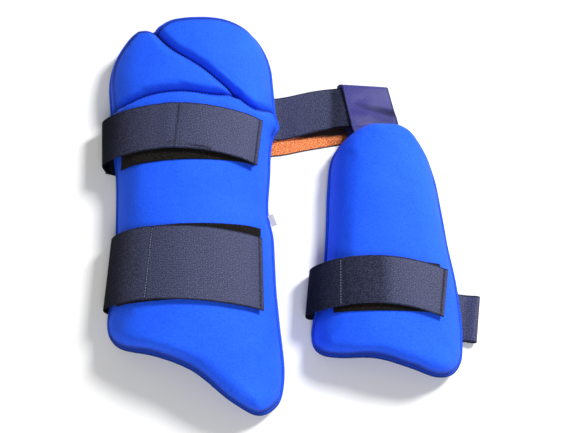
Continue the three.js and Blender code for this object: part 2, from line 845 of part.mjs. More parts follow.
function beltStations() {
  const startY = 0.511 * outer.halfLength;
  const edgeX = outer.rightAt(startY);
  const startZ = (x) => {
    let lowest = Infinity;
    for (const share of [-0.5, -0.25, 0, 0.25, 0.5]) {
      lowest = Math.min(lowest, outer.under(x, startY + share * beltWidth));
    }
    return lowest - gap - beltWall / 2 - 0.2;
  };
  const topY = hangerFoldY - hangerWall - gap - beltWidth / 2 - 0.8;
  const floorZ = beltWall / 2;
  const overZ = beltStack + gap + hangerWall + gap + liningWall + gap + beltWall / 2 + 1.3;
  const turnY = topY - 4;
  const turnTop = overZ + 0.6;
  const radius = (turnTop - floorZ) / 2;
  const foldLean = Math.atan((hangerFootShift - hangerTopShift) / hangerReach);
  const hangerRight = hangerTopX + hangerWidth / 2 + (hangerFoldY - turnY) * Math.tan(foldLean);
  const turnX = hangerRight + hangerBackShift + gap + 0.4 + beltWall / 2 + gap + liningWall - 0.9 * radius;
  const point = (x, y, z, lean, tilt) => ({
    at: new THREE.Vector3(x, y, z),
    across: new THREE.Vector3(-Math.sin(lean), Math.cos(lean), -Math.sin(tilt)).normalize(),
  });
  const keys = [
    point(edgeX - beltTuck, startY, startZ(edgeX - beltTuck), 0, 0),
    point(edgeX - 7, startY + 0.4, startZ(edgeX - 7), 0.04, 0),
    point(edgeX + 1, startY + 1.4, startZ(edgeX - 1), 0.12, 0),
    point(between(edgeX, hangerTopX, 0.2), between(startY, topY, 0.35), startZ(edgeX - 1) + 1.2, 0.2, 0.05),
    point(between(edgeX, hangerTopX, 0.45), between(startY, topY, 0.75), overZ - 0.2, 0.19, 0.09),
    point(between(edgeX, hangerTopX, 0.7), between(startY, topY, 0.97), overZ + 1.6, 0.13, 0.13),
    point(hangerTopX - 2, topY - 0.5, overZ + 2.6, 0.0, 0.14),
    point(hangerTopX + 11, topY - 3, overZ + 2.2, -0.04, 0.11),
    point(turnX - 8, turnY - 0.6, overZ + 0.8, 0.6 * foldLean, 0.02),
  ];
  const arc = [0, 0.2, 0.4, 0.6, 0.8, 1].map((share) => {
    const angle = Math.PI * (0.5 - share);
    return point(
      turnX + radius * Math.cos(angle) * 0.9,
      turnY,
      floorZ + radius + radius * Math.sin(angle) + 0.25 * share,
      foldLean,
      0,
    );
  });
  const backX = (share) => between(turnX, edgeX, share);
  const returnY = (share) => between(turnY - 1, startY - 14.5, share);
  const farX = outer.leftAt(startY);
  const home = (x) => outer.under(x, startY + 6) - gap - beltWall - liningWall - 1.6;
  const returns = [
    point(backX(0.12), returnY(0.12), floorZ + 0.1, 0.13, 0),
    point(backX(0.45), returnY(0.45), floorZ, 0.13, 0),
    point(backX(0.8), returnY(0.8), floorZ, 0.13, 0),
    point(edgeX, startY - 15, floorZ, 0.1, 0),
    point(edgeX - 24, startY - 15, floorZ, -0.02, 0),
    point(edgeX - 50, startY - 11, floorZ, -0.16, 0),
    point(edgeX - 74, startY - 5, floorZ + 0.3, -0.26, 0),
    point(edgeX - 98, startY + 2.5, floorZ + 3, -0.32, 0),
    point(farX + 58, startY + 9.5, home(farX + 42) * 0.6, -0.32, 0),
    point(farX + 43, startY + 15, home(farX + 28) - 2.6, -0.32, 0),
    point(farX + 32, startY + 18.5, home(farX + 17) - 1.4, -0.32, 0),
  ];
  return [...keys, ...arc, ...returns];
}

function smoothStations(keys, steps) {
  const middle = lineThrough(keys.map((key) => key.at), false, steps);
  const list = [];
  middle.forEach((at, i) => {
    const k = Math.min(keys.length - 2, Math.floor(i / steps));
    const across = keys[k].across.clone().lerp(keys[k + 1].across, i / steps - k).normalize();
    list.push({ at, across });
  });
  return list;
}

function waistBelt() {
  const stations = smoothStations(beltStations(), 2);
  return [
    band('waist_belt_elastic', navy, stations, beltWidth, beltWall),
    band('waist_belt_lining', orange, stations, beltWidth - 1, liningWall, liningOffset),
  ];
}

// The hanger: sewn under the small guard's hip end, up over the belt, round its edge and back below it
function hanger() {
  const footX = innerShiftX + hangerFootShift;
  const footY = innerShiftY + inner.halfLength;
  const roomUnder = (shift) => Math.min(
    inner.under(hangerFootShift + shift - hangerWidth / 2, inner.halfLength - 9),
    inner.under(hangerFootShift + shift + hangerWidth / 2, inner.halfLength - 9),
  ) - gap - hangerWall / 2;
  const beltZ = beltStack + gap + hangerWall + gap + liningWall + gap + beltWall + 0.9;
  const low = beltStack + gap + 0.3 + hangerWall / 2;
  const lean = (share) => between(-0.02, 0.07, share);
  const point = (share, z, tilt, shift = 0) => ({
    at: new THREE.Vector3(between(footX, hangerTopX, share) + shift, between(footY, hangerFoldY, share), z),
    across: new THREE.Vector3(Math.cos(lean(share)), -Math.sin(lean(share)), Math.sin(tilt)).normalize(),
  });
  const reach = (length) => length / hangerReach;
  const fromFold = (length) => 1 - length / hangerReach;
  const top = roomUnder(0);
  const backTop = roomUnder(hangerBackShift);
  const stations = [
    point(reach(-9), top, 0),
    point(reach(-3), top - 0.6, 0),
    point(reach(2), top - 2.2, 0.02),
    point(reach(7), between(top, beltZ, 0.42), 0.03),
    point(reach(14), beltZ + 8.4, 0.03),
    point(reach(25), beltZ + 5.4, 0.01),
    point(fromFold(17), beltZ + 3.3, 0),
    point(fromFold(7), beltZ + 2.2, 0),
    point(fromFold(2.2), beltZ + 1.1, 0),
    point(fromFold(0.4), between(beltZ, low, 0.35), 0, 0.3 * hangerBackShift),
    point(fromFold(0.4), between(beltZ, low, 0.72), 0, 0.7 * hangerBackShift),
    point(fromFold(2.2), low + 0.15, 0, hangerBackShift),
    point(fromFold(7), low, 0, hangerBackShift),
    point(reach(30), low, 0, hangerBackShift),
    point(reach(6), low, 0, hangerBackShift),
    point(reach(0), low + 0.4, 0, hangerBackShift),
    point(reach(-4), low + 3.2, 0, hangerBackShift),
    point(reach(-7), between(low, backTop, 0.4), 0, hangerBackShift),
    point(reach(-10), between(low, backTop, 0.66), 0, hangerBackShift),
    point(reach(-15), backTop - hangerWall - 1.4, 0, hangerBackShift),
  ];
  return band('inner_hanger_loop', purple, smoothStations(stations, 2), hangerWidth, hangerWall);
}

const outerGroup = new THREE.Group();
outerGroup.name = 'outer_guard';
outerGroup.add(...outerGuard());
outerGroup.add(...strapSet(outer, upperStrap, 'outer_upper'));
outerGroup.add(...strapSet(outer, lowerStrap, 'outer_lower'));
outerGroup.add(label());

const innerGroup = new THREE.Group();
innerGroup.name = 'inner_guard';
innerGroup.add(...innerGuard());
innerGroup.add(...strapSet(inner, innerStrapRow, 'inner'));
innerGroup.position.set(innerShiftX, innerShiftY, 0);

const beltGroup = new THREE.Group();
beltGroup.name = 'waist_belt';
beltGroup.add(...waistBelt(), hanger());

const thighGuard = new THREE.Group();
thighGuard.name = 'cricket_thigh_guard';
thighGuard.add(outerGroup, innerGroup, beltGroup);

// The part stands on the surface with its middle over the origin
thighGuard.updateMatrixWorld(true);
const reach = new THREE.Box3().setFromObject(thighGuard);
thighGuard.position.set(-(reach.min.x + reach.max.x) / 2, -(reach.min.y + reach.max.y) / 2, -reach.min.z);
thighGuard.updateMatrixWorld(true);

export default thighGuard;
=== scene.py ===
import math

import bpy
import numpy as np
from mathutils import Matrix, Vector


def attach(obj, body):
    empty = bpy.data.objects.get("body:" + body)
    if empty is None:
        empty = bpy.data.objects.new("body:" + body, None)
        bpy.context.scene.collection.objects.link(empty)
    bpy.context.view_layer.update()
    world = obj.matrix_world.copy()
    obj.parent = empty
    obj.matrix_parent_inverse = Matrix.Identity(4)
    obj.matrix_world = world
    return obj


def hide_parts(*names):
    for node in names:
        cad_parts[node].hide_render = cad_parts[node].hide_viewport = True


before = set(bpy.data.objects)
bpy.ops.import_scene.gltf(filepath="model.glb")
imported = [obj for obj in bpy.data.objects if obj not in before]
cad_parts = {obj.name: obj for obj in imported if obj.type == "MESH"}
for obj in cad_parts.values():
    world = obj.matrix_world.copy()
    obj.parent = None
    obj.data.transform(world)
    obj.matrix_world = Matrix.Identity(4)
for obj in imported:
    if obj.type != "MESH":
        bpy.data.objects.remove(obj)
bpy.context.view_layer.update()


# Padding of the large guard
# Foam in a matt knitted polyester cover. The cover is sewn to the back panel all round and along
# three grooves at the hip end, where the thread pulls it down into the foam.

MM = 0.001
large_place = np.array([-97.04, -2.06, 0.038])
large = {
    "width": 192,
    "length": 414,
    "rise": 33,
    "padding": 19.5,
    "edge_line": 1,
    "side_rounding": 30,
    "end_rounding": 10,
    # height of the inside of the arch's edge, and the wall that it is raised by
    "edge_height": 2.2,
    "panel": 2.5,
    "lifts": [{"side": 1, "along": 0.46, "reach": 46, "lift": 4.9}],
    # share of half the length, with the left and right edges in shares of half the width
    "sides": [
        (0.812, -0.976, 0.832),
        (0.705, -1.0, 0.861),
        (0.531, -0.961, 0.896, "groove"),
        (0.454, -0.949, 0.934),
        (0.372, -0.925, 0.861),
        (0.184, -0.851, 0.836),
        (-0.01, -0.822, 0.822),
        (-0.13, -0.809, 0.877),
        (-0.24, -0.79, 0.892),
        (-0.4, -0.799, 0.911),
        (-0.565, -0.834, 0.947),
    ],
    "hip_end": [
        (-0.91, 0.868, "hip left"),
        (-0.8, 0.924),
        (-0.66, 0.957),
        (-0.5, 0.956, "notch"),
        (-0.32, 0.994),
        (0.005, 1.012),
        (0.349, 1.013),
        (0.62, 0.972, "hip right"),
        (0.75, 0.905),
    ],
    "knee_end": [
        (0.997, -0.821),
        (0.932, -0.947, "knee right"),
        (0.755, -1.0),
        (0.495, -0.949),
        (0.099, -0.812),
        (-0.266, -0.744),
        (-0.661, -0.693),
        (-0.786, -0.638, "knee left"),
    ],
}
groove_meeting = (0.464, 0.558)
groove_from_left = [(-0.755, 0.531), (-0.453, 0.56), (-0.12, 0.567), (0.25, 0.551)]
groove_from_right = [(0.68, 0.502)]
groove_from_notch = [(-0.255, 0.816), (0.089, 0.708), (0.336, 0.612)]
seam_lip = 2.5
groove_reach = 7.5
groove_depth = 0.5
layer_gap = 0.3
grain = np.random.default_rng(7)


def unit(v):
    v = np.asarray(v, float)
    return v / np.maximum(np.linalg.norm(v, axis=-1, keepdims=True), 1e-9)


def mix(a, b, share):
    return a + (b - a) * share


def eased(t):
    return t * t * (3 - 2 * t)


def line_through(points, closed=False, steps=6):
    """A smooth line through the points, with the same number of steps in each stretch."""
    p = [np.asarray(point, float) for point in points]
    count = len(p)
    out = []
    for i in range(count if closed else count - 1):
        if closed:
            a, b, c, d = (p[(i + k) % count] for k in (-1, 0, 1, 2))
        else:
            b, c = p[i], p[i + 1]
            a = p[i - 1] if i > 0 else 2 * b - c
            d = p[i + 2] if i + 2 < count else 2 * c - b
        ta, tb, tc = (max(np.sum((y - x) ** 2) ** 0.25, 1e-4) for x, y in ((a, b), (b, c), (c, d)))
        into = ((b - a) / ta - (c - a) / (ta + tb) + (c - b) / tb) * tb
        away = ((c - b) / tb - (d - b) / (tb + tc) + (d - c) / tc) * tb
        for k in range(steps):
            t = k / steps
            out.append(
                b
                + into * t
                + (3 * (c - b) - 2 * into - away) * t**2
                + (2 * (b - c) + into + away) * t**3
            )
    if not closed:
        out.append(p[-1])
    return np.array(out)


def spread(line, shares):
    """Points on a line at shares of its length."""
    line = np.asarray(line, float)
    lengths = np.concatenate([[0], np.cumsum(np.linalg.norm(np.diff(line, axis=0), axis=1))])
    at = np.asarray(shares) * lengths[-1]
    return np.stack([np.interp(at, lengths, line[:, k]) for k in range(line.shape[1])], axis=1)


def shares(count, crowding=0.72):
    """Shares from 0 to 1 that lie closer together at both ends."""
    t = np.linspace(0, 1, count + 1)
    return mix(t, 0.5 - 0.5 * np.cos(np.pi * t), crowding)


def square_to(line):
    """The way square to a closed line at each of its points, to the right of the way it runs."""
    way = unit(np.roll(line, -1, axis=0) - np.roll(line, 1, axis=0))
    return np.stack([way[:, 1], -way[:, 0]], 1)


def nearest(line, x, y, closed=False):
    """How far each place is from a line in the plan, and the way from the line to it."""
    a = line[:, :2] if closed else line[:-1, :2]
    b = np.roll(line[:, :2], -1, axis=0) if closed else line[1:, :2]
    e = b - a
    px, py = np.ravel(x)[:, None], np.ravel(y)[:, None]
    t = ((px - a[:, 0]) * e[:, 0] + (py - a[:, 1]) * e[:, 1]) / np.maximum((e**2).sum(1), 1e-9)
    t = np.clip(t, 0, 1)
    dx, dy = px - a[:, 0] - t * e[:, 0], py - a[:, 1] - t * e[:, 1]
    far = np.hypot(dx, dy)
    best = far.argmin(1)
    row = np.arange(len(best))
    return tuple(part[row, best].reshape(np.shape(x)) for part in (far, dx, dy))


def patch(bottom, top, left, right, us, vs):
    """A four-sided patch that fills in between its sides."""
    u, v = us[None, :, None], vs[:, None, None]
    across = mix(bottom[None], top[None], v)
    upward = mix(left[:, None], right[:, None], u)
    corners = mix(mix(bottom[0], bottom[-1], u), mix(top[0], top[-1], u), v)
    return across + upward - corners


def joined(grids):
    """Patches with common sides as one sheet: its points and its four-cornered faces."""
    points, faces, known = [], [], {}
    for grid in grids:
        number = np.empty(grid.shape[:2], int)
        for place in np.ndindex(*number.shape):
            key = tuple(np.round(grid[place] * 617).astype(int))
            if key not in known:
                known[key] = len(points)
                points.append(grid[place])
            number[place] = known[key]
        a, b, c, d = number[:-1, :-1], number[:-1, 1:], number[1:, 1:], number[1:, :-1]
        faces += np.stack([a, b, c, d], -1).reshape(-1, 4).tolist()
    return np.array(points), faces


def rim_of(faces):
    """The edges that belong to one face only, in one round, each in its face's direction."""
    edges = set()
    for face in faces:
        for p, q in zip(face, face[1:] + face[:1]):
            if (q, p) in edges:
                edges.remove((q, p))
            else:
                edges.add((p, q))
    follow = dict(edges)
    start = min(follow)
    ring = [start]
    while follow[ring[-1]] != start:
        ring.append(follow[ring[-1]])
    return ring


class Guard:
    """A guard's outline with named corners, and its surfaces as heights over the plan."""

    def __init__(self, sizes, place):
        self.sizes, self.place = sizes, place
        self.half = np.array([sizes["width"] / 2, sizes["length"] / 2])
        down, up = sizes["sides"], reversed(sizes["sides"])
        rows = list(sizes["hip_end"])
        rows += [(right, along, *("groove right" for _ in mark)) for along, _, right, *mark in down]
        rows += list(sizes["knee_end"])
        rows += [(left, along, *("groove left" for _ in mark)) for along, left, _, *mark in up]
        steps = 6
        self.outline = line_through([np.array(row[:2]) * self.half for row in rows], True, steps)
        self.marks = {row[2]: i * steps for i, row in enumerate(rows) if len(row) > 2}
        self.inset = self.outline + seam_lip * square_to(self.outline)
        self.grooves = []
        steep = math.hypot(1, 2 * sizes["rise"] / (0.86 * self.half[0]))
        self.back_height = sizes["edge_height"] + (sizes["panel"] + layer_gap) * steep

    def edge(self, column, y):
        rows = sorted(self.sizes["sides"])
        along = np.array([row[0] for row in rows])
        value = np.array([row[column] for row in rows])
        at = np.clip(np.asarray(y, float) / self.half[1], along[0], along[-1])
        i = np.clip(np.searchsorted(along, at), 1, len(along) - 1)
        t = (at - along[i - 1]) / (along[i] - along[i - 1])
        return mix(value[i - 1], value[i], eased(t)) * self.half[0]

    def left(self, y):
        return self.edge(1, y)

    def right(self, y):
        return self.edge(2, y)

    def share(self, x, y):
        left, right = self.left(y), self.right(y)
        return (x - 0.5 * (left + right)) / (0.5 * (right - left))

    def back(self, x, y):
        u = self.share(x, y)
        height = self.back_height + self.sizes["rise"] * np.maximum(0, 1 - u * u)
        for lift in self.sizes["lifts"]:
            near = np.exp(-(((y - lift["along"] * self.half[1]) / lift["reach"]) ** 4))
            height = height + lift["lift"] * near * np.clip(0.5 + 0.5 * u * lift["side"], 0, 1) ** 2
        return height

    def steepness(self, x, y):
        u = np.minimum(1, np.abs(self.share(x, y)))
        return np.hypot(1, 4 * self.sizes["rise"] * u / (self.right(y) - self.left(y)))

    def front(self, x, y):
        far, dx, dy = nearest(self.inset, x, y, True)
        sideways = np.abs(dx) / np.maximum(far, 1e-6)
        rounding = mix(self.sizes["end_rounding"], self.sizes["side_rounding"], sideways**2)
        s = np.minimum(1, far / rounding)
        padding = self.sizes["padding"] * self.steepness(x, y) * np.sqrt(1 - (1 - s) ** 2)
        for line in self.grooves:
            d = nearest(line, x, y)[0]
            padding = padding * (1 - groove_depth * np.maximum(0, 1 - d / groove_reach) ** 1.6)
        return self.back(x, y) + np.where(far < 0.01, 0, padding)

    def inset_way(self, x, y):
        """The way in from the seam, which a place on the seam itself takes from the outline."""
        i = np.hypot(self.inset[:, 0] - x[:, None], self.inset[:, 1] - y[:, None]).argmin(1)
        return (self.inset - self.outline)[i]

    def under(self, x, y):
        return self.back(x, y) - (layer_gap + self.sizes["panel"]) * self.steepness(x, y)

    def side(self, start, end, at, back=False):
        """Points on the seam between two named corners, in its own direction or back along it."""
        i, last = self.marks[start], self.marks[end]
        count = (last - i) % len(self.inset) + 1
        line = np.array([self.inset[(i + k) % len(self.inset)] for k in range(count)])
        return spread(line[::-1] if back else line, at)

    def on_front(self, x, y, lift):
        """The place a little above the front of the padding, square to it."""
        reach = 1.5
        slope_x = (self.front(x + reach, y) - self.front(x - reach, y)) / (2 * reach)
        slope_y = (self.front(x, y + reach) - self.front(x, y - reach)) / (2 * reach)
        normal = unit(np.stack([-slope_x, -slope_y, np.ones_like(slope_x)], -1))
        return np.stack([x, y, self.front(x, y)], -1) + normal * lift, normal


def grooved_sheet(guard):
    """The body and two hip lobes, whose common sides are the grooves."""
    meeting = np.array(groove_meeting) * guard.half
    left_end, right_end, notch = (
        guard.inset[guard.marks[mark]] for mark in ("groove left", "groove right", "notch")
    )
    from_left = line_through([left_end, *(np.array(groove_from_left) * guard.half), meeting])
    from_right = line_through([meeting, *(np.array(groove_from_right) * guard.half), right_end])
    from_notch = line_through([meeting, *(np.array(groove_from_notch[::-1]) * guard.half), notch])
    left_us, right_us, hip_vs, body_vs = shares(44), shares(26), shares(40), shares(88)
    across_share = 0.76  # of the sheet's columns, those on the left of the grooves' meeting
    body_us = np.concatenate([left_us * across_share, mix(across_share, 1, right_us[1:])])
    left_side, right_side = spread(from_left, left_us), spread(from_right, right_us)
    middle = spread(from_notch, hip_vs)
    body = patch(
        guard.side("knee right", "knee left", body_us, back=True),
        np.concatenate([left_side, right_side[1:]]),
        guard.side("knee left", "groove left", body_vs),
        guard.side("groove right", "knee right", body_vs, back=True),
        body_us,
        body_vs,
    )
    left_lobe = patch(
        left_side,
        guard.side("hip left", "notch", left_us),
        guard.side("groove left", "hip left", hip_vs),
        middle,
        left_us,
        hip_vs,
    )
    right_lobe = patch(
        right_side,
        guard.side("notch", "hip right", right_us),
        middle,
        guard.side("hip right", "groove right", hip_vs, back=True),
        right_us,
        hip_vs,
    )
    return [from_left, from_right, from_notch], joined([body, left_lobe, right_lobe])


def new_piece(name, points, faces, finish, cloth=None):
    """A piece from points in millimetres. cloth gives each point its place on the flat cloth where it has
    one, and the painted shade there as its third value.
    """
    mesh = bpy.data.meshes.new(name)
    mesh.from_pydata((np.asarray(points) * MM).tolist(), [], faces)
    if cloth is not None:
        layer = mesh.attributes.new("cloth", "FLOAT_VECTOR", "POINT")
        layer.data.foreach_set("vector", np.asarray(cloth, np.float32).ravel())
    mesh.materials.append(finish)
    mesh.polygons.foreach_set("use_smooth", [True] * len(mesh.polygons))
    mesh.update()
    piece = bpy.data.objects.new(name, mesh)
    bpy.context.scene.collection.objects.link(piece)
    return piece


def dressed(piece, slot, *nodes):
    """No part of the guard moves by itself, so each piece rides on the one body."""
    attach(piece, "root")
    if nodes:
        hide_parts(*nodes)
    return piece


def fold(x, y, start, end, width, height):
    """The height of one soft ridge (or dent, if negative) from start to end."""
    (ax, ay), (bx, by) = start, end
    length = math.hypot(bx - ax, by - ay)
    ux, uy = (bx - ax) / length, (by - ay) / length
    along = ((x - ax) * ux + (y - ay) * uy) / length
    off = -(x - ax) * uy + (y - ay) * ux
    taper = np.sin(np.pi * np.clip(along, 0, 1)) ** 0.7
    return height * taper * np.exp(-((off / width) ** 2))


def linear(code):
    """A six-figure sRGB colour in the linear values that the shaders take."""
    parts = [int(code[i : i + 2], 16) / 255 for i in (1, 3, 5)]
    return (*(c / 12.92 if c <= 0.04045 else ((c + 0.055) / 1.055) ** 2.4 for c in parts), 1)


def add(finish, kind, inputs, **settings):
    """Adds a node to a material. An input is a value, or another node's output."""
    node = finish.node_tree.nodes.new("ShaderNode" + kind)
    for key, value in settings.items():
        setattr(node, key, value)
    for key, value in inputs.items():
        if isinstance(value, bpy.types.NodeSocket):
            finish.node_tree.links.new(value, node.inputs[key])
        else:
            node.inputs[key].default_value = value
    return node


def socket(finish, name):
    """A socket of the material's shader, by its name in small letters."""
    shader = finish.node_tree.nodes["Principled BSDF"]
    return shader.inputs[name.replace("_", " ").title().replace("Ior", "IOR")]


def new_finish(name, **values):
    """A material whose shader takes these values on its own sockets."""
    finish = bpy.data.materials.new(name)
    finish.use_nodes = True
    for key, value in values.items():
        socket(finish, key).default_value = value
    return finish


def lead(finish, **outputs):
    """Leads the outputs of nodes to the sockets of the material's shader."""
    for key, output in outputs.items():
        finish.node_tree.links.new(output, socket(finish, key))


def period(length):
    """The wave texture's scale that repeats every so many millimetres."""
    return math.pi / (10 * length)


# Knitted polyester over foam: no gloss, a soft bloom at the edges, and a fine grain. The real loops
# are about 0.4 mm, drawn at 1.3 mm so that they show. The colour drifts a little, as dyed cloth does.
cover = new_finish(
    "knitted_polyester_cover",
    roughness=0.8,
    ior=1.46,
    specular_ior_level=0.2,
    sheen_weight=0.06,
    sheen_roughness=0.45,
    sheen_tint=linear("#7AA0FF"),
)
place = add(cover, "TexCoord", {}).outputs["Object"]
place = add(cover, "VectorMath", {0: place, "Scale": 1000}, operation="SCALE").outputs[0]
loops = add(
    cover,
    "TexWave",
    {"Vector": place, "Scale": period(1.3), "Distortion": 3, "Detail": 1, "Detail Scale": 0.5},
    bands_direction="Y",
)
specks = add(cover, "TexNoise", {"Vector": place, "Scale": 0.75, "Detail": 2})
drift = add(cover, "TexNoise", {"Vector": place, "Scale": 0.022, "Detail": 2})
speck_share = add(cover, "MapRange", {"Value": specks.outputs["Fac"], "From Min": 0.32, "From Max": 0.68})
drift_share = add(cover, "MapRange", {"Value": drift.outputs["Fac"], "From Min": 0.35, "From Max": 0.65})
colours = {0: speck_share.outputs[0], 6: linear("#124AE4"), 7: linear("#2A6AFF")}
grainy = add(cover, "Mix", colours, data_type="RGBA")
colours = {0: drift_share.outputs[0], 6: linear("#1855F4"), 7: linear("#205FFF")}
drifting = add(cover, "Mix", colours, data_type="RGBA")
colours = {0: 0.5, 6: grainy.outputs[2], 7: drifting.outputs[2]}
dyed = add(cover, "Mix", colours, data_type="RGBA")
# painted shade: darker on each groove's steep wall and along its bottom, along the seam that shows at the
# hip end, and along the knee end's edge
cover_shade_attribute = add(cover, "Attribute", {}, attribute_name="cloth").outputs["Vector"]
painted_seam_shade = add(cover, "SeparateXYZ", {0: cover_shade_attribute}).outputs[2]
colours = {0: painted_seam_shade, 6: dyed.outputs[2], 7: linear("#082078")}
shaded = add(cover, "Mix", colours, data_type="RGBA")
relief = add(cover, "Math", {0: loops.outputs["Fac"], 1: specks.outputs["Fac"]}, operation="ADD")
bump = add(cover, "Bump", {"Height": relief.outputs[0], "Strength": 0.28, "Distance": 0.0004})
lead(cover, base_color=shaded.outputs[2], normal=bump.outputs[0])


def swollen(name, points, faces, held, limit):
    """The cover's points after the foam has pressed it out between its seams, by a cloth run."""
    mesh = bpy.data.meshes.new(name)
    mesh.from_pydata((points * MM).tolist(), [], faces)
    piece = bpy.data.objects.new(name, mesh)
    bpy.context.scene.collection.objects.link(piece)
    group = piece.vertex_groups.new(name="sewn")
    for share in np.unique(np.round(held, 2)):
        group.add(np.flatnonzero(np.round(held, 2) == share).tolist(), float(share), "REPLACE")
    cloth = piece.modifiers.new("cover", "CLOTH")
    settings = cloth.settings
    settings.quality = 5
    settings.mass = 0.2
    settings.tension_stiffness = settings.compression_stiffness = 10
    settings.shear_stiffness = 6
    settings.bending_stiffness = 1.5
    settings.use_pressure = True
    settings.uniform_pressure_force = 4
    settings.vertex_group_mass = "sewn"
    settings.shrink_min = -0.005
    settings.effector_weights.gravity = 0
    cloth.collision_settings.use_collision = False
    cloth.point_cache.frame_start = 1
    cloth.point_cache.frame_end = 20
    for frame_number in range(1, 21):
        bpy.context.scene.frame_set(frame_number)
    shaped = piece.evaluated_get(bpy.context.evaluated_depsgraph_get())
    moved = np.zeros(len(points) * 3, np.float32)
    shaped.data.vertices.foreach_get("co", moved)
    bpy.data.objects.remove(piece)
    bpy.data.meshes.remove(mesh)
    bpy.context.scene.frame_set(1)
    way = moved.reshape(-1, 3) / MM - points
    far = np.linalg.norm(way, axis=1, keepdims=True)
    return points + way * np.minimum(1, limit / np.maximum(far, 1e-6))


swell_limit = 0.8
sewn_reach = 2.2
# depth and width of a groove's steep wall and of its other side, in millimetres
steep_wall, other_side = (3.2, 2.6), (2.2, 1.2)
# the seam that shows at the hip end: its depth and width, and the light swelling beside it
shown_seam, beside_seam = (2.4, 1.3), (0.5, 1.2)
pucker_height, groove_pucker_height = 0.28, 0.1


def pad(name, guard, sheet, creases, start_share=0.97):
    """A guard's padding: the sheet's front and back joined at the seam, swollen and creased."""
    flat, faces = sheet
    x, y = flat.T
    ring = rim_of(faces)
    on_rim = np.zeros(len(flat), bool)
    on_rim[ring] = True
    front, back = guard.front(x, y), guard.back(x, y)
    front[on_rim] = back[on_rim]
    below = np.where(on_rim, np.arange(len(flat)), np.cumsum(~on_rim) - 1 + len(flat))
    lower = np.stack([x, y, back], 1)[~on_rim]
    upper = np.stack([x, y, mix(back, front, start_share)], 1)
    points = np.concatenate([upper, lower])
    whole = faces + [tuple(below[list(reversed(face))]) for face in faces]
    seam = np.full(len(flat), 99.0)
    for line in guard.grooves:
        seam = np.minimum(seam, nearest(line, x, y)[0])
    held = np.ones(len(points))
    held[: len(flat)] = np.where(on_rim | (seam < sewn_reach), 1, 0)
    points = swollen(name + "_cover", points, whole, held, swell_limit)
    top = points[: len(flat)]
    limit = guard.front(top[:, 0], top[:, 1])
    full = np.where(on_rim, back, limit)
    over = top[:, 2] - full
    top[:, 2] = full + np.where(over > 0, 0.25 * np.tanh(over / 0.25), over)
    for crease in creases:
        top[:, 2] += np.where(on_rim, 0, fold(top[:, 0], top[:, 1], *crease))
    # the bottom of each groove: a stitch line with a steep wall above it, and the seam that shows
    # along the hip end's left
    above = np.zeros(len(flat), bool)
    for line in guard.grooves:
        off, off_x, off_y = nearest(line, x, y)
        above |= (off <= seam + 0.01) & (0.5 * off_x + off_y > 0)
    wall, side = (depth * np.exp(-((seam / width) ** 2)) for depth, width in (steep_wall, other_side))
    top[:, 2] -= np.where(on_rim, 0, np.where(above, wall, side))
    far, inward_x, inward_y = nearest(guard.inset, x, y, True)
    inward_x, inward_y = inward_x / np.maximum(far, 1e-6), inward_y / np.maximum(far, 1e-6)
    facing = 0.6 * inward_x - 0.8 * inward_y
    line_in = 6.8 + 7 * np.clip(-inward_x * inward_y, 0, 0.5)
    shown = eased(np.clip((facing - 0.2) / 0.5, 0, 1)) * eased(np.clip(y / guard.half[1] * 4 - 1, 0, 1))
    shown = shown * guard.sizes["edge_line"]
    depth, width = shown_seam
    top[:, 2] -= np.where(on_rim, 0, shown * depth * np.exp(-(((far - line_in) / width) ** 2)))
    height, width = beside_seam
    top[:, 2] += np.where(on_rim, 0, shown * height * np.exp(-(((far - line_in + 2.8) / width) ** 2)))
    # small puckers where the seam and the grooves gather the cover
    run = x * 0.61 + y * 0.79
    puckers = np.sin(run * 0.62 + 2.2 * np.sin(run * 0.083)) * np.sin(run * 0.21 + 1.3)
    gathered = pucker_height * np.exp(-(((far - 7) / 4.5) ** 2))
    gathered += groove_pucker_height * np.exp(-(((seam - 4) / 3) ** 2))
    top[:, 2] += np.where(on_rim, 0, puckers * gathered)
    points[: len(flat)] = top
    # painted shade for the cover's colour: a band on the steep wall above each groove, a line along each
    # groove's bottom, a line along the seam that shows at the hip end, and a line along the knee end's edge
    dark = np.zeros((len(points), 3))
    line_dark = np.where(above, np.exp(-((seam / 5.0) ** 6)) * 0.3, 0) + np.exp(-((seam / 1.1) ** 2))
    edge_dark = shown * np.exp(-(((far - line_in) / 2) ** 2))
    knee_side = eased(np.clip((unit(guard.inset_way(x, y))[:, 1] - 0.15) / 0.5, 0, 1))
    knee_dark = knee_side * np.exp(-((far / 1.5) ** 2))
    dark[: len(flat), 2] = np.clip(np.maximum(np.maximum(line_dark, edge_dark), knee_dark), 0, 1)
    piece = new_piece(name, points + guard.place, whole, cover, dark)
    smooth = piece.modifiers.new("cover", "SUBSURF")
    smooth.levels = smooth.render_levels = 1
    return piece


large_guard = Guard(large, large_place)
groove_lines, large_sheet = grooved_sheet(large_guard)
large_guard.grooves = groove_lines
large_creases = [
    ((66, 102), (84, 86), 2.0, 1.1),
    ((50, 104), (74, 90), 1.6, 0.8),
    ((58, 100), (84, 98), 1.5, -1.2),
    ((64, 94), (88, 90), 1.8, -0.9),
    ((72, 108), (80, 84), 1.6, -0.9),
    ((-22, -118), (6, -130), 1.6, 0.9),
    ((-60, 132), (-42, 172), 5, -0.3),
]
outer_pad = pad("outer_pad_cover", large_guard, large_sheet, large_creases)
dressed(outer_pad, "blue_cover", "outer_pad")


# Back panel of the large guard
# A thin brushed knit over a stiff felt, cut a little wider than the padding. Its rolled edge shows
# as a lip all round, and one row of blue thread holds it to the cover.

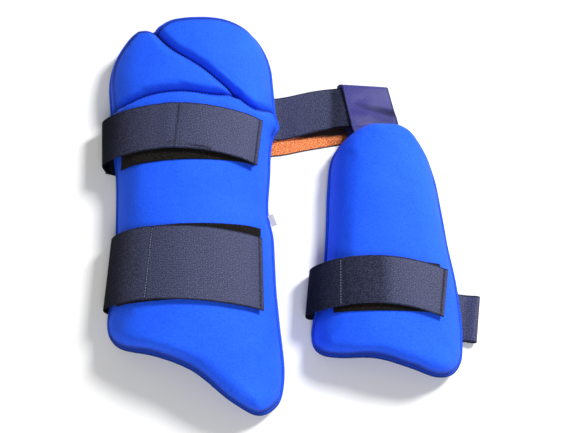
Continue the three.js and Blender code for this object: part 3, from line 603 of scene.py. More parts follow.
# Brushed polyester knit: no gloss, and a soft nap. The fibres are far finer than the 2 mm tufts
# drawn here, which is the coarseness that shows.
backing = new_finish(
    "brushed_knit_backing",
    roughness=0.9,
    ior=1.46,
    specular_ior_level=0.2,
    sheen_weight=0.08,
    sheen_roughness=0.6,
    sheen_tint=linear("#6D92F5"),
)
place = add(backing, "TexCoord", {}).outputs["Object"]
place = add(backing, "VectorMath", {0: place, "Scale": 1000}, operation="SCALE").outputs[0]
nap = add(backing, "TexNoise", {"Vector": place, "Scale": 0.5, "Detail": 3, "Roughness": 0.65})
nap_share = add(backing, "MapRange", {"Value": nap.outputs["Fac"], "From Min": 0.35, "From Max": 0.65})
colours = {0: nap_share.outputs[0], 6: linear("#0A44C4"), 7: linear("#1655E6")}
brushed = add(backing, "Mix", colours, data_type="RGBA")
# painted shade on the lip's rolled edge along the knee end
lip_place = add(backing, "Attribute", {}, attribute_name="cloth").outputs["Vector"]
painted_lip_shade = add(backing, "SeparateXYZ", {0: lip_place}).outputs[2]
colours = {0: painted_lip_shade, 6: brushed.outputs[2], 7: linear("#040C34")}
lip_shaded = add(backing, "Mix", colours, data_type="RGBA")
bump = add(backing, "Bump", {"Height": nap.outputs["Fac"], "Strength": 0.35, "Distance": 0.0006})
lead(backing, base_color=lip_shaded.outputs[2], normal=bump.outputs[0])


def panel(name, guard, sheet):
    """The back panel: the padding's sheet made thick, with a rounded lip outside its seam."""
    flat, faces = sheet
    ring = rim_of(faces)
    x, y = flat.T
    steep = guard.steepness(x, y)
    back = guard.back(x, y)
    upper = np.stack([x, y, back - layer_gap * steep], 1)
    lower = np.stack([x, y, back - (layer_gap + guard.sizes["panel"]) * steep], 1)
    rim = flat[ring]
    outward = square_to(rim)
    # painted shade on the lip along the knee end, strongest on its outer side and less on its top
    turned = eased(np.clip((-outward[:, 1] - 0.15) / 0.5, 0, 1))
    half_wall = 0.5 * guard.sizes["panel"] * steep[ring]
    middle = 0.5 * (upper[ring, 2] + lower[ring, 2])
    points = [upper, lower]
    shade = [np.zeros(2 * len(flat))]
    rings = [np.array(ring)]
    count = 2 * len(flat)
    roll = 1.15  # radius of the lip's rounded edge
    for angle in np.radians([90, 60, 30, 0, -30, -60, -90]):
        at = rim + outward * (seam_lip - roll + roll * math.cos(angle))
        points.append(np.column_stack([at, middle + half_wall * math.sin(angle)]))
        shade.append(turned * mix(1, 0.6, max(0, math.sin(angle))))
        rings.append(np.arange(count, count + len(ring)))
        count += len(ring)
    rings.append(np.array(ring) + len(flat))
    whole = faces + [tuple(p + len(flat) for p in reversed(face)) for face in faces]
    for near, far in zip(rings, rings[1:]):
        quads = np.stack([np.roll(near, -1), near, far, np.roll(far, -1)], 1)
        whole += quads.tolist()
    dark = np.zeros((count, 3))
    dark[:, 2] = np.concatenate(shade)
    return new_piece(name, np.concatenate(points) + guard.place, whole, backing, dark)


outer_panel = panel("outer_back_panel_cloth", large_guard, large_sheet)
dressed(outer_panel, "blue_backing", "outer_back_panel")


def sewing_thread(name, dark, light):
    """Polyester thread: a soft gloss, and a twist too fine to draw, so its colour is only mottled."""
    thread = new_finish(name, roughness=0.5, ior=1.5, sheen_weight=0.2)
    place = add(thread, "TexCoord", {}).outputs["Object"]
    place = add(thread, "VectorMath", {0: place, "Scale": 1000}, operation="SCALE").outputs[0]
    twist = add(thread, "TexNoise", {"Vector": place, "Scale": 1.6, "Detail": 1})
    colours = {0: twist.outputs["Fac"], 6: linear(dark), 7: linear(light)}
    spun = add(thread, "Mix", colours, data_type="RGBA")
    lead(thread, base_color=spun.outputs[2])
    return thread


blue_thread = sewing_thread("blue_polyester_thread", "#1642B8", "#2A5FE6")


def stitches(name, runs, finish, pitch=3.2, length=2.3, thick=0.5):
    """Rows of stitches. A run is a line of points with the way up from the cloth at each."""
    points, faces = [], []
    sides = 5
    around = np.linspace(0, 2 * np.pi, sides, endpoint=False)
    for line, ups in runs:
        line, ups = np.asarray(line, float), np.asarray(ups, float)
        steps = np.linalg.norm(np.diff(line, axis=0), axis=1)
        lengths = np.concatenate([[0], np.cumsum(steps)])
        count = max(1, int(lengths[-1] / pitch))
        for k in range(count):
            middle = (k + 0.5) * lengths[-1] / count
            at = middle + np.array([-0.5, -0.3, 0, 0.3, 0.5]) * length
            spine = np.stack([np.interp(at, lengths, line[:, c]) for c in range(3)], 1)
            up = unit(np.stack([np.interp(at, lengths, ups[:, c]) for c in range(3)], 1))
            spine += up * (thick * np.array([-0.35, 0.12, 0.3, 0.12, -0.35]))[:, None]
            way = unit(np.gradient(spine, axis=0))
            side = unit(np.cross(way, up))
            top = np.cross(side, way)
            radius = 0.5 * thick * np.array([0.55, 1, 1, 1, 0.55])
            first = len(points)
            for j in range(5):
                for angle in around:
                    points.append(
                        spine[j] + radius[j] * (math.cos(angle) * side[j] + math.sin(angle) * top[j])
                    )
            for j in range(4):
                for i in range(sides):
                    a, b = first + j * sides + i, first + j * sides + (i + 1) % sides
                    faces.append((a, b, b + sides, a + sides))
            faces.append(tuple(range(first + sides - 1, first - 1, -1)))
            faces.append(tuple(range(first + 4 * sides, first + 5 * sides)))
    return new_piece(name, points, faces, finish)


def lip_run(guard, sheet, inset):
    """A closed run on the panel's lip, this far outside the padding's seam."""
    flat, faces = sheet
    rim = flat[rim_of(faces)]
    at = rim + inset * square_to(rim)
    at = np.concatenate([at, at[:1]])
    z = guard.back(*np.concatenate([rim, rim[:1]]).T) - layer_gap + 0.05
    return np.column_stack([at, z]) + guard.place, np.tile([0, 0, 1.0], (len(at), 1))


def groove_run(guard, line, offset, start, end):
    """A run of top stitches beside a groove."""
    at = spread(line, np.linspace(start, end, 60))
    way = unit(np.gradient(at, axis=0))
    at = at + offset * np.stack([-way[:, 1], way[:, 0]], 1)
    top, normal = guard.on_front(at[:, 0], at[:, 1], 0.12)
    return top + guard.place, normal


outer_stitching = stitches(
    "outer_seam_stitching",
    [
        lip_run(large_guard, large_sheet, 0.75),
        groove_run(large_guard, groove_lines[0], -2.4, 0.05, 0.97),
        groove_run(large_guard, groove_lines[1], -2.4, 0.1, 0.85),
        groove_run(large_guard, groove_lines[2], 2.4, 0.04, 0.93),
    ],
    blue_thread,
)
dressed(outer_stitching, "blue_cover")


# Padding and back panel of the small guard
# The inner thigh's pad is made like the large one, in the same cloths, but without grooves. The
# lift in its right edge leaves room for the strap that goes out under it.

small_place = large_place + np.array([196.3, -42.3, 0])
small = {
    "width": 149,
    "length": 259,
    "rise": 29,
    "padding": 17,
    "edge_line": 0,
    "side_rounding": 27,
    "end_rounding": 9.5,
    "edge_height": 2.2,
    "panel": 2.5,
    "lifts": [{"side": 1, "along": -0.52, "reach": 42, "lift": 2.6}],
    "sides": [
        (0.737, -0.717, 0.7),
        (0.52, -0.759, 0.783),
        (0.118, -0.795, 0.866),
        (-0.268, -0.853, 0.96),
        (-0.578, -0.984, 0.997),
        (-0.7, -0.995, 0.992),
    ],
    "hip_end": [
        (-0.66, 0.82),
        (-0.507, 0.911, "hip left"),
        (-0.239, 0.995),
        (0.016, 1.0),
        (0.257, 0.996),
        (0.445, 0.95, "hip right"),
        (0.592, 0.853),
    ],
    "knee_end": [
        (0.954, -0.867),
        (0.814, -0.971, "knee right"),
        (0.591, -1.0),
        (0.247, -0.944),
        (-0.19, -0.873),
        (-0.641, -0.856),
        (-0.855, -0.825, "knee left"),
        (-0.96, -0.77),
    ],
}
small_guard = Guard(small, small_place)
us, vs = shares(44), shares(72)
small_body = patch(
    small_guard.side("knee right", "knee left", us, back=True),
    small_guard.side("hip left", "hip right", us),
    small_guard.side("knee left", "hip left", vs),
    small_guard.side("hip right", "knee right", vs, back=True),
    us,
    vs,
)
small_sheet = joined([small_body])
small_creases = [((-40, -96), (10, -104), 6, -0.4), ((20, 96), (44, 60), 7, -0.4)]
inner_pad = pad("inner_pad_cover", small_guard, small_sheet, small_creases)
dressed(inner_pad, "blue_cover", "inner_pad")
inner_panel = panel("inner_back_panel_cloth", small_guard, small_sheet)
dressed(inner_panel, "blue_backing", "inner_back_panel")
inner_stitching = stitches(
    "inner_seam_stitching", [lip_run(small_guard, small_sheet, 0.75)], blue_thread
)
dressed(inner_stitching, "blue_cover")


# Leg straps: woven elastic
# Navy woven elastic, 47 to 73 mm wide. Each strap is sewn under a guard's right edge, passes
# behind the guard, turns up round its left edge and lies over its front, where it fastens.

elastic_wall = 1.6
tape_wall = 1.2
facet_gap = 0.6

# Woven elastic: dull polyester over rubber, with ribs across it and lighter flecks where the yarns
# cross. The real weave is about 0.9 mm, drawn at 1.5 mm so that it shows.
elastic_cloth = new_finish(
    "woven_navy_elastic", roughness=0.52, ior=1.5, sheen_weight=0.0, specular_tint=linear("#C4C8F0")
)
flat_place = add(elastic_cloth, "Attribute", {}, attribute_name="cloth").outputs["Vector"]
stretched = add(elastic_cloth, "SeparateXYZ", {0: flat_place}).outputs[2]
rib_wave = {"Vector": flat_place, "Scale": period(1.5), "Distortion": 0.6, "Detail": 1}
ribs = add(elastic_cloth, "TexWave", rib_wave, bands_direction="X")
row_wave = {"Vector": flat_place, "Scale": period(1.7), "Distortion": 0.6, "Detail": 1}
rows = add(elastic_cloth, "TexWave", row_wave, bands_direction="Y")
weave = add(elastic_cloth, "Math", {0: ribs.outputs["Fac"], 1: rows.outputs["Fac"]}, operation="MULTIPLY")
flecks = add(
    elastic_cloth, "TexNoise", {"Vector": flat_place, "Scale": 0.85, "Detail": 2, "Roughness": 0.7}
)
fleck_share = add(
    elastic_cloth, "MapRange", {"Value": flecks.outputs["Fac"], "From Min": 0.36, "From Max": 0.68}
)
soft_weave = add(elastic_cloth, "MapRange", {"Value": weave.outputs[0], "To Min": 0.45, "To Max": 1.0})
crossings = {0: soft_weave.outputs[0], 1: fleck_share.outputs[0]}
light_yarn = add(elastic_cloth, "Math", crossings, operation="MULTIPLY")
worn = add(elastic_cloth, "TexNoise", {"Vector": flat_place, "Scale": 0.03, "Detail": 2})
worn_share = add(elastic_cloth, "MapRange", {"Value": worn.outputs["Fac"], "From Min": 0.3, "From Max": 0.7})
colours = {0: worn_share.outputs[0], 6: linear("#141624"), 7: linear("#1B1E30")}
ground = add(elastic_cloth, "Mix", colours, data_type="RGBA")
colours = {0: light_yarn.outputs[0], 6: ground.outputs[2], 7: linear("#646890")}
woven = add(elastic_cloth, "Mix", colours, data_type="RGBA")
# painted shade: darker, with less gloss and rougher, where the strap turns round the guard's edge and the
# belt goes into the hanger, in the stitched creases and along the selvedges
colours = {0: stretched, 6: woven.outputs[2], 7: linear("#07080F")}
shaded_weave = add(elastic_cloth, "Mix", colours, data_type="RGBA")
gloss = add(elastic_cloth, "MapRange", {"Value": stretched, "To Min": 0.55, "To Max": 0.05})
dull = add(elastic_cloth, "MapRange", {"Value": stretched, "To Min": 0.52, "To Max": 0.95})
rough_weave = add(elastic_cloth, "Math", crossings, operation="ADD")
bump = add(elastic_cloth, "Bump", {"Height": rough_weave.outputs[0], "Strength": 0.6, "Distance": 0.0004})
lead(
    elastic_cloth,
    base_color=shaded_weave.outputs[2],
    specular_ior_level=gloss.outputs[0],
    roughness=dull.outputs[0],
    normal=bump.outputs[0],
)


def bend(start, handle_a, handle_b, end, count):
    t = np.linspace(0, 1, count + 1)[:, None]
    start, handle_a, handle_b, end = (np.asarray(p, float) for p in (start, handle_a, handle_b, end))
    return (
        start * (1 - t) ** 3
        + 3 * handle_a * t * (1 - t) ** 2
        + 3 * handle_b * t**2 * (1 - t)
        + end * t**3
    )


def leaning(start, end):
    way = np.asarray(end, float) - np.asarray(start, float)
    across = unit([-way[1], way[0], 0])
    return -across if way[0] < 0 else across


fifths = np.array([-0.5, -0.25, 0, 0.25, 0.5])


def lowest_under(guard, x, y, across, width):
    sides = fifths * width
    return guard.under(x + across[0] * sides, y + across[1] * sides).min()


def start_under_panel(guard, strap, floor_z, low, across):
    """The sewn end under the back panel, coming down to the surface."""
    start_y = strap["start_along"] * guard.half[1]
    edge_x = float(guard.right(start_y))
    stations = []
    for inset, share in ((10, 1), (16, 1), (24, 1), (34, 0.72), (46, 0.3), (58, 0.06), (70, 0)):
        x = edge_x - inset
        y = mix(low[1], start_y, (x - low[0]) / (edge_x - low[0]))
        top = lowest_under(guard, x, y, across, strap["width"]) - layer_gap - elastic_wall / 2 - 0.3
        stations.append((x, y, max(floor_z, mix(floor_z, top, share))))
    for share in (0.35, 0.7):
        x = mix(edge_x - 70, low[0], share)
        stations.append((x, mix(low[1], start_y, (x - low[0]) / (edge_x - low[0])), floor_z))
    return [np.array(at) for at in stations]


def start_as_loop(guard, strap, floor_z, low, across):
    """The sewn end that first goes out as a loose loop and then back under the guard."""
    start_y = strap["start_along"] * guard.half[1]
    edge_x = float(guard.right(start_y))

    def at(x, z):
        return np.array([x, mix(low[1], start_y, (x - low[0]) / (edge_x - low[0])), z])

    tuck_x = edge_x - 9
    top = (
        min(
            lowest_under(guard, x, at(x, 0)[1], across, strap["width"]) for x in (tuck_x, edge_x)
        )
        - layer_gap
        - elastic_wall / 2
    )
    turn_x = edge_x + strap["loose_reach"]
    turn = at(turn_x, 0.5 * (top + floor_z) + 2.4)
    upper = bend(at(edge_x + 1, top), at(edge_x + 8, top), at(turn_x, turn[2] + 7), turn, 5)
    lower = bend(
        turn, at(turn_x, turn[2] - 4.5), at(turn_x - 5, floor_z), at(edge_x + 2, floor_z), 5
    )
    loop = [at(tuck_x, top), *upper, *lower[1:]]
    return loop + [at(mix(edge_x, low[0], share), floor_z) for share in (0.1, 0.4, 0.7)]


def strap_route(guard, strap):
    """The strap's stations, each its middle and the way across, and its hook tape's."""
    width = strap["width"]
    left_y = strap["left_along"] * guard.half[1]
    right_y = strap["right_along"] * guard.half[1]
    left_x = (guard.left(left_y + fifths * width) - fifths * width * strap["loop_lean"]).min()
    end_x = float(guard.right(right_y)) - strap["end_inset"]

    def front_y(x):
        t = (x - left_x) / (end_x - left_x)
        return mix(left_y, right_y, t) + 4 * strap["bow"] * t * (1 - t)

    def across_at(x):
        slope = (front_y(x + 1) - front_y(x - 1)) / 2
        return unit([-slope * strap["bow_lean"], 1, 0])

    def height(x):
        way = across_at(x)
        return guard.front(x + way[0] * fifths * width, front_y(x) + way[1] * fifths * width).max()

    seam_x = end_x - strap["hook_length"]

    def lifted(x):
        on_hook = eased(min(1, max(0, (x - seam_x + 16) / 14)))
        lift = facet_gap + tape_wall + layer_gap + elastic_wall / 2 + 0.4
        lift += (tape_wall + layer_gap) * on_hook
        slope = (height(x + 2) - height(x - 2)) / 4
        level = math.hypot(1, slope)
        return np.array([x - slope / level * lift, front_y(x), height(x) + lift / level])

    land_x = left_x + strap["landing"]
    front_xs = [mix(land_x, end_x, i / 12) for i in range(13)]
    front = [lifted(x) for x in front_xs]
    land, floor_z = front[0], elastic_wall / 2
    slope_way = unit(front[1] - land)
    turn = np.array(
        [left_x - strap["reach"] + elastic_wall / 2, front_y(left_x), strap["bulge_height"]]
    )
    low = np.array([left_x + 1.5, front_y(left_x), floor_z])
    outward = bend(
        low,
        (mix(low[0], turn[0], 0.66), low[1], floor_z),
        (turn[0], low[1], floor_z + 2.2),
        turn,
        8,
    )
    inward = bend(
        turn,
        turn + np.array([0, 0, 0.42 * (land[2] - turn[2])]),
        land - slope_way * 0.42 * strap["landing"],
        land,
        7,
    )
    start_y = strap["start_along"] * guard.half[1]
    floor_across = leaning((left_x, left_y), (float(guard.right(right_y)), start_y))
    loop_across = unit([strap["loop_lean"], 1, 0])
    route = [(at, floor_across) for at in strap["start"](guard, strap, floor_z, low, floor_across)]
    route += [
        (at, unit(mix(floor_across, loop_across, min(1, i / 3)))) for i, at in enumerate(outward[:-1])
    ]
    landed = across_at(land_x)
    route += [(at, unit(mix(loop_across, landed, i / 7))) for i, at in enumerate(inward[:-1])]
    route += [(at, across_at(x)) for x, at in zip(front_xs, front)]
    hook = [(lifted(seam_x), across_at(seam_x))]
    hook += [(at, across_at(x)) for x, at in zip(front_xs, front) if at[0] > seam_x]
    return route, hook


def band(
    name, route, width, wall, finish, offset=0, lift=None, thick=None, step=2.5, fuzz=0, shade=None
):
    """Flat cloth along a route: rounded selvedges, a sewn line inside each, closed at both ends."""
    places = np.array([at for at, _ in route])
    acrosses = np.array([across for _, across in route])
    both = line_through(np.hstack([places, acrosses * 10]), False, 6)
    steps = np.linalg.norm(np.diff(both[:, :3], axis=0), axis=1)
    lengths = np.concatenate([[0], np.cumsum(steps)])
    count = max(4, int(round(lengths[-1] / step)))
    along = np.linspace(0, lengths[-1], count + 1)
    both = np.stack([np.interp(along, lengths, both[:, k]) for k in range(6)], 1)
    middle, across = both[:, :3], unit(both[:, 3:])
    up = unit(np.cross(unit(np.gradient(middle, axis=0)), across))
    edge_steps = np.array([0, 0.18, 0.5, 1.0, 1.8, 2.5, 3.2])
    inner_count = max(2, int((width - 6.4) / 2.6))
    inner = np.linspace(-width / 2 + 3.2, width / 2 - 3.2, inner_count + 1)[1:-1]
    v = np.concatenate([-width / 2 + edge_steps, inner, (width / 2 - edge_steps)[::-1]])
    from_edge = width / 2 - np.abs(v)
    rounded = np.sqrt(1 - (1 - np.minimum(1, from_edge / 0.8)) ** 2) * 0.75 + 0.25
    half = 0.5 * wall * rounded - 0.1 * wall * np.exp(-(((from_edge - 2.5) / 0.5) ** 2))
    half = np.tile(half, (len(along), 1))
    s, across_mm = np.meshgrid(along, v, indexing="ij")
    if thick is not None:
        half = half + thick(s, across_mm, lengths[-1])
    level = np.full_like(s, float(offset))
    if lift is not None:
        level = level + lift(s, across_mm, lengths[-1])
    rough = fuzz * grain.standard_normal(s.shape) if fuzz else 0
    line = middle[:, None] + across[:, None] * across_mm[..., None]
    top = line + up[:, None] * (level + half + rough)[..., None]
    bottom = line + up[:, None] * (level - half)[..., None]
    points = np.concatenate([top.reshape(-1, 3), bottom.reshape(-1, 3)])
    number = np.arange(s.size).reshape(s.shape)
    low = number + s.size
    quads = [
        np.stack([number[:-1, :-1], number[1:, :-1], number[1:, 1:], number[:-1, 1:]], -1),
        np.stack([low[:-1, :-1], low[:-1, 1:], low[1:, 1:], low[1:, :-1]], -1),
        np.stack([number[:-1, 0], low[:-1, 0], low[1:, 0], number[1:, 0]], -1),
        np.stack([number[:-1, -1], number[1:, -1], low[1:, -1], low[:-1, -1]], -1),
        np.stack([number[0, :-1], number[0, 1:], low[0, 1:], low[0, :-1]], -1),
        np.stack([number[-1, :-1], low[-1, :-1], low[-1, 1:], number[-1, 1:]], -1),
    ]
    faces = [quad for part in quads for quad in part.reshape(-1, 4).tolist()]
    dark = np.zeros_like(s) if shade is None else shade(top, s, across_mm, lengths[-1])
    flat = np.stack([s, across_mm, dark], -1).reshape(-1, 3)
    piece = new_piece(name, points, faces, finish, np.concatenate([flat, flat]))

    def on_top(s_at, v_at, raised=0.0):
        """Places on the band's upper face, with the way up there."""
        i = np.clip(np.searchsorted(along, s_at), 1, count)
        t = ((s_at - along[i - 1]) / (along[i] - along[i - 1]))[:, None]
        here = mix(middle[i - 1], middle[i], t)
        side = mix(across[i - 1], across[i], t)
        way_up = unit(mix(up[i - 1], up[i], t))
        j = np.array([np.abs(v - value).argmin() for value in v_at])
        surface = (level + half)[i, j]
        return here + side * v_at[:, None] + way_up * (surface + raised)[:, None], way_up

    return piece, lengths[-1], on_top


def sewn_line(on_top, start, end):
    """A row of stitches between two places on a band, given as (along, across)."""
    share = np.linspace(0, 1, 40)
    return on_top(mix(start[0], end[0], share), mix(start[1], end[1], share), np.full(40, 0.02))


# Dark thread for hems, and the lighter grey one that shows on the wide strap's seam
dark_thread = sewing_thread("dark_polyester_thread", "#15161F", "#2B2C3C")
grey_thread = sewing_thread("grey_polyester_thread", "#6E7796", "#98A2BE")

straps = [
    {
        "name": "outer_upper",
        "guard": large_guard,
        "width": 50,
        "left_along": 0.338,
        "right_along": 0.298,
        "bow": 7,
        "bow_lean": 0.45,  # how far the strap's end turns with the bow of its front run
        "start_along": 0.125,
        "end_inset": 15,
        "reach": 6.4,
        "loop_lean": -0.07,
        "bulge_height": 18,
        "landing": 26,
        "hook_length": 84,
        "hook_inset": 1,
        "start": start_under_panel,
        "seam_lean": 1.5,
        # darkness of the painted shade on the turn, by distance from the strap's left edge
        "stretched": [(0, 0.95), (14, 0.8), (34, 0.35), (60, 0)],
        "pucker": [(-9, 5.5), (36, 2.4)],
        "seam_thread": dark_thread,
        "patch": [(-0.731, 0.174), (0.678, 0.191), (0.69, 0.43), (-0.73, 0.418)],
    },
    {
        "name": "outer_lower",
        "guard": large_guard,
        "width": 73,
        "left_along": -0.334,
        "right_along": -0.364,
        "bow": 3.5,
        "bow_lean": -0.25,
        "start_along": -0.33,
        "end_inset": 16,
        "reach": 2.8,
        "loop_lean": 0.05,
        "bulge_height": 10,
        "landing": 26,
        "hook_length": 109,
        "hook_inset": 1.5,
        "start": start_under_panel,
        "seam_lean": 4,
        "stretched": [(0, 0.95), (14, 0.75), (30, 0.3), (50, 0)],
        "seam_thread": grey_thread,
        "patch": [(-0.682, -0.513), (0.735, -0.492), (0.74, -0.131), (-0.69, -0.152)],
    },
    {
        "name": "inner",
        "guard": small_guard,
        "width": 47,
        "left_along": -0.354,
        "right_along": -0.415,
        "bow": 8,
        "bow_lean": 0.45,
        "start_along": -0.52,
        "end_inset": 22,
        "reach": 7.5,
        "loop_lean": 0.09,
        "bulge_height": 16,
        "landing": 24,
        "hook_length": 99,
        "hook_inset": 1,
        "loose_reach": 17,
        "start": start_as_loop,
        "seam_lean": 2.5,
        "stretched": [(0, 0.9), (16, 0.7), (68, 0.5), (80, 0.05), (100, 0)],
        "seam_thread": grey_thread,
        "patch": [(-0.713, -0.544), (0.64, -0.56), (0.66, -0.18), (-0.7, -0.165)],
    },
]

hem = 3.6
seam_share = 1.04  # how far from the strap's end its seam lies, in lengths of hook tape

for strap in straps:
    guard = strap["guard"]
    route, hook = strap_route(guard, strap)
    route = [(at + guard.place, across) for at, across in route]
    strap["hook_route"] = [(at + guard.place, across) for at, across in hook]
    hook_length = strap["hook_length"]

    def ripple(s, v, whole):
        # slack of the weave, and the pull of the seam and the hem on it
        from_end = whole - s
        wave = 0.16 * np.sin(s / 7.5 + 0.05 * v) * np.sin(s / 31 + 1)
        pull = -0.28 * np.exp(-(((from_end - hook_length - 1) / 1.6) ** 2))
        return wave * (from_end > 1) * np.clip(from_end / 12, 0, 1) + pull

    def folded_end(s, v, whole):
        from_end = whole - s
        turned = 0.12 * (from_end < hem)
        stitched = -0.22 * np.exp(-(((from_end - hem) / 0.7) ** 2))
        return turned + stitched

    left_edge = min(at[0] for at, _ in route)

    # painted shade: on the turn round the guard's left edge, in the creases of the seam, the hem and the
    # pucker line, and along the selvedges
    def darkness(at, s, v, whole):
        far_along, dark = np.array(strap["stretched"]).T
        turned = np.interp(at[..., 0] - left_edge, far_along, dark)
        from_end = whole - s
        seam = from_end - hook_length * seam_share + strap["seam_lean"] * v / strap["width"]
        sewn = 0.8 * np.exp(-((seam / 0.9) ** 2)) + 0.85 * np.exp(-(((from_end - hem) / 0.9) ** 2))
        selvedge = 0.6 * (strap["width"] / 2 - np.abs(v) < 1.2)
        if "pucker" in strap:
            (a, a_in), (b, b_in) = strap["pucker"]
            run = whole - hook_length * seam_share
            share = np.clip((s - run - a) / (b - a), 0, 1)
            off = v + strap["width"] / 2 - mix(a_in, b_in, share)
            sewn = np.maximum(sewn, 0.8 * np.exp(-((off / 0.8) ** 2)) * (share > 0) * (share < 1))
        return np.clip(np.maximum(turned, np.maximum(sewn, selvedge)), 0, 1)

    piece, whole, on_top = band(
        strap["name"] + "_strap_elastic",
        route,
        strap["width"],
        elastic_wall,
        elastic_cloth,
        lift=ripple,
        thick=folded_end,
        step=1.4,
        shade=darkness,
    )
    dressed(piece, "navy_elastic", strap["name"] + "_strap")
    half = strap["width"] / 2 - 2
    seam_at = whole - hook_length * seam_share
    lean = strap["seam_lean"]
    seam = stitches(
        strap["name"] + "_seam_stitches",
        [sewn_line(on_top, (seam_at + lean / 2, half), (seam_at - lean / 2, -half))],
        strap["seam_thread"],
        pitch=2.6,
        length=2.1,
        thick=0.42,
    )
    dressed(seam, "navy_elastic")
    hem_rows = [sewn_line(on_top, (whole - hem, half), (whole - hem, -half))]
    if "pucker" in strap:
        ends = [(seam_at + along, -strap["width"] / 2 + inset) for along, inset in strap["pucker"]]
        hem_rows.append(sewn_line(on_top, *ends))
    hem_stitches = stitches(
        strap["name"] + "_hem_stitches", hem_rows, dark_thread, pitch=2.6, length=2.0, thick=0.42
    )
    dressed(hem_stitches, "navy_elastic")


# Hook tape on the straps and loop tape on the guards
# The hook tape is sewn under each strap's free end: a brown nylon weave with cut hooks. The loop
# tape is sewn on the padding below it: a black pile of fine nylon loops.

# Nylon hooks: a semi-matt brown stubble with dark gaps, 1.25 mm apart, about as the real ones are.
hook_tape = new_finish("nylon_hook_tape", roughness=0.6, ior=1.53)
flat_place = add(hook_tape, "Attribute", {}, attribute_name="cloth").outputs["Vector"]
hooks = add(hook_tape, "TexVoronoi", {"Vector": flat_place, "Scale": 0.8, "Randomness": 0.25})
hook_share = add(
    hook_tape, "MapRange", {"Value": hooks.outputs["Distance"], "From Min": 0.1, "From Max": 0.6}
)
colours = {0: hook_share.outputs[0], 6: linear("#7A4A40"), 7: linear("#2E1F1E")}
moulded = add(hook_tape, "Mix", colours, data_type="RGBA")
stubble = {"Height": hook_share.outputs[0], "Strength": 0.8, "Distance": 0.0005}
bump = add(hook_tape, "Bump", stubble, invert=True)
lead(hook_tape, base_color=moulded.outputs[2], normal=bump.outputs[0])

# Nylon pile: nearly black and dull. The loops are about 0.3 mm, drawn as 1.1 mm tufts so that they
# show.
loop_tape = new_finish(
    "nylon_loop_tape",
    roughness=0.95,
    ior=1.53,
    specular_ior_level=0.15,
    sheen_weight=0.08,
    sheen_roughness=0.6,
    sheen_tint=linear("#7C7468"),
)
place = add(loop_tape, "TexCoord", {}).outputs["Object"]
place = add(loop_tape, "VectorMath", {0: place, "Scale": 1000}, operation="SCALE").outputs[0]
pile = add(loop_tape, "TexNoise", {"Vector": place, "Scale": 0.9, "Detail": 3, "Roughness": 0.7})
pile_share = add(loop_tape, "MapRange", {"Value": pile.outputs["Fac"], "From Min": 0.45, "From Max": 0.62})
colours = {0: pile_share.outputs[0], 6: linear("#030304"), 7: linear("#24201B")}
matted = add(loop_tape, "Mix", colours, data_type="RGBA")
bump = add(loop_tape, "Bump", {"Height": pile.outputs["Fac"], "Strength": 0.9, "Distance": 0.0008})
lead(loop_tape, base_color=matted.outputs[2], normal=bump.outputs[0])

for strap in straps:
    guard = strap["guard"]
    tab, whole, _ = band(
        strap["name"] + "_hook_tape",
        strap["hook_route"],
        strap["width"] - 2 * strap["hook_inset"],
        tape_wall,
        hook_tape,
        offset=-(elastic_wall + tape_wall) / 2 - layer_gap,
    )
    dressed(tab, "hook_tape", strap["name"] + "_hook_tab")
    a, b, c, d = (np.array(corner) * guard.half for corner in strap["patch"])
    us, vs = shares(100), shares(36, 0)
    grid = patch(
        spread([a, b], us), spread([d, c], us), spread([a, d], vs), spread([b, c], vs), us, vs
    )
    flat, faces = joined([grid])
    ring = rim_of(faces)
    on_rim = np.zeros(len(flat), bool)
    on_rim[ring] = True
    pile_height = 0.16 * grain.standard_normal(len(flat)) + np.where(on_rim, -0.5, 0)
    top, normal = guard.on_front(flat[:, 0], flat[:, 1], facet_gap + tape_wall)
    top += normal * np.clip(pile_height, -0.6, 0.22)[:, None]
    bottom, _ = guard.on_front(flat[:, 0], flat[:, 1], facet_gap)
    count = len(flat)
    whole_faces = faces + [tuple(p + count for p in reversed(face)) for face in faces]
    near, following = np.array(ring), np.roll(ring, -1)
    whole_faces += np.stack([following, near, near + count, following + count], 1).tolist()
    points = np.concatenate([top, bottom]) + guard.place
    tape = new_piece(strap["name"] + "_loop_tape", points, whole_faces, loop_tape)
    dressed(tape, "loop_tape", strap["name"] + "_loop_patch")
    around = np.linalg.norm(np.diff(top.reshape(-1, 3)[: len(us)], axis=0), axis=1).sum()


# Label
# A small white satin tag, 6 mm wide, folded over and caught in the large guard's right side seam.
# It is plain.

# Woven polyester satin: long floats that give a soft streak of light. They are about 0.3 mm apart,
# drawn at 0.8 mm so that they show.
label_satin = new_finish(
    "white_satin_tape", roughness=0.45, ior=1.5, sheen_weight=0.3, anisotropic=0.4
)
flat_place = add(label_satin, "Attribute", {}, attribute_name="cloth").outputs["Vector"]
float_wave = {"Vector": flat_place, "Scale": period(0.8), "Distortion": 1}
floats = add(label_satin, "TexWave", float_wave, bands_direction="X")
colours = {0: floats.outputs["Fac"], 6: linear("#9C9C9E"), 7: linear("#BFBFBF")}
faded = add(label_satin, "Mix", colours, data_type="RGBA")
bump = add(label_satin, "Bump", {"Height": floats.outputs["Fac"], "Strength": 0.2, "Distance": 0.0002})
lead(label_satin, base_color=faded.outputs[2], normal=bump.outputs[0])

label_width, label_length, label_wall = 6, 13, 0.5
label_y = -0.015 * large_guard.half[1]
label_x = float(large_guard.right(label_y)) - seam_lip + 1.2 + label_width / 2
label_z = float(large_guard.back(label_x - label_width / 2, label_y)) + label_wall / 2
label_route = []
label_way = np.array([0.36, -0.93, 0])
for share, rise in ((0, 0.3), (0.3, 0.6), (0.65, 1.1), (1, 1.9)):
    at = np.array([label_x, label_y, label_z + rise]) + share * label_length * label_way
    label_route.append((at + large_place, unit([0.93, 0.36, 0])))
tag, _, _ = band("outer_label_tag", label_route, label_width, label_wall, label_satin, step=0.8)
dressed(tag, "white_tape", "outer_label")


# Waist belt
# The same woven elastic, 50 mm wide, with a soft orange lining on the side of the skin. It leaves
# from under the large guard, goes through the hanger, turns back and returns along the surface.

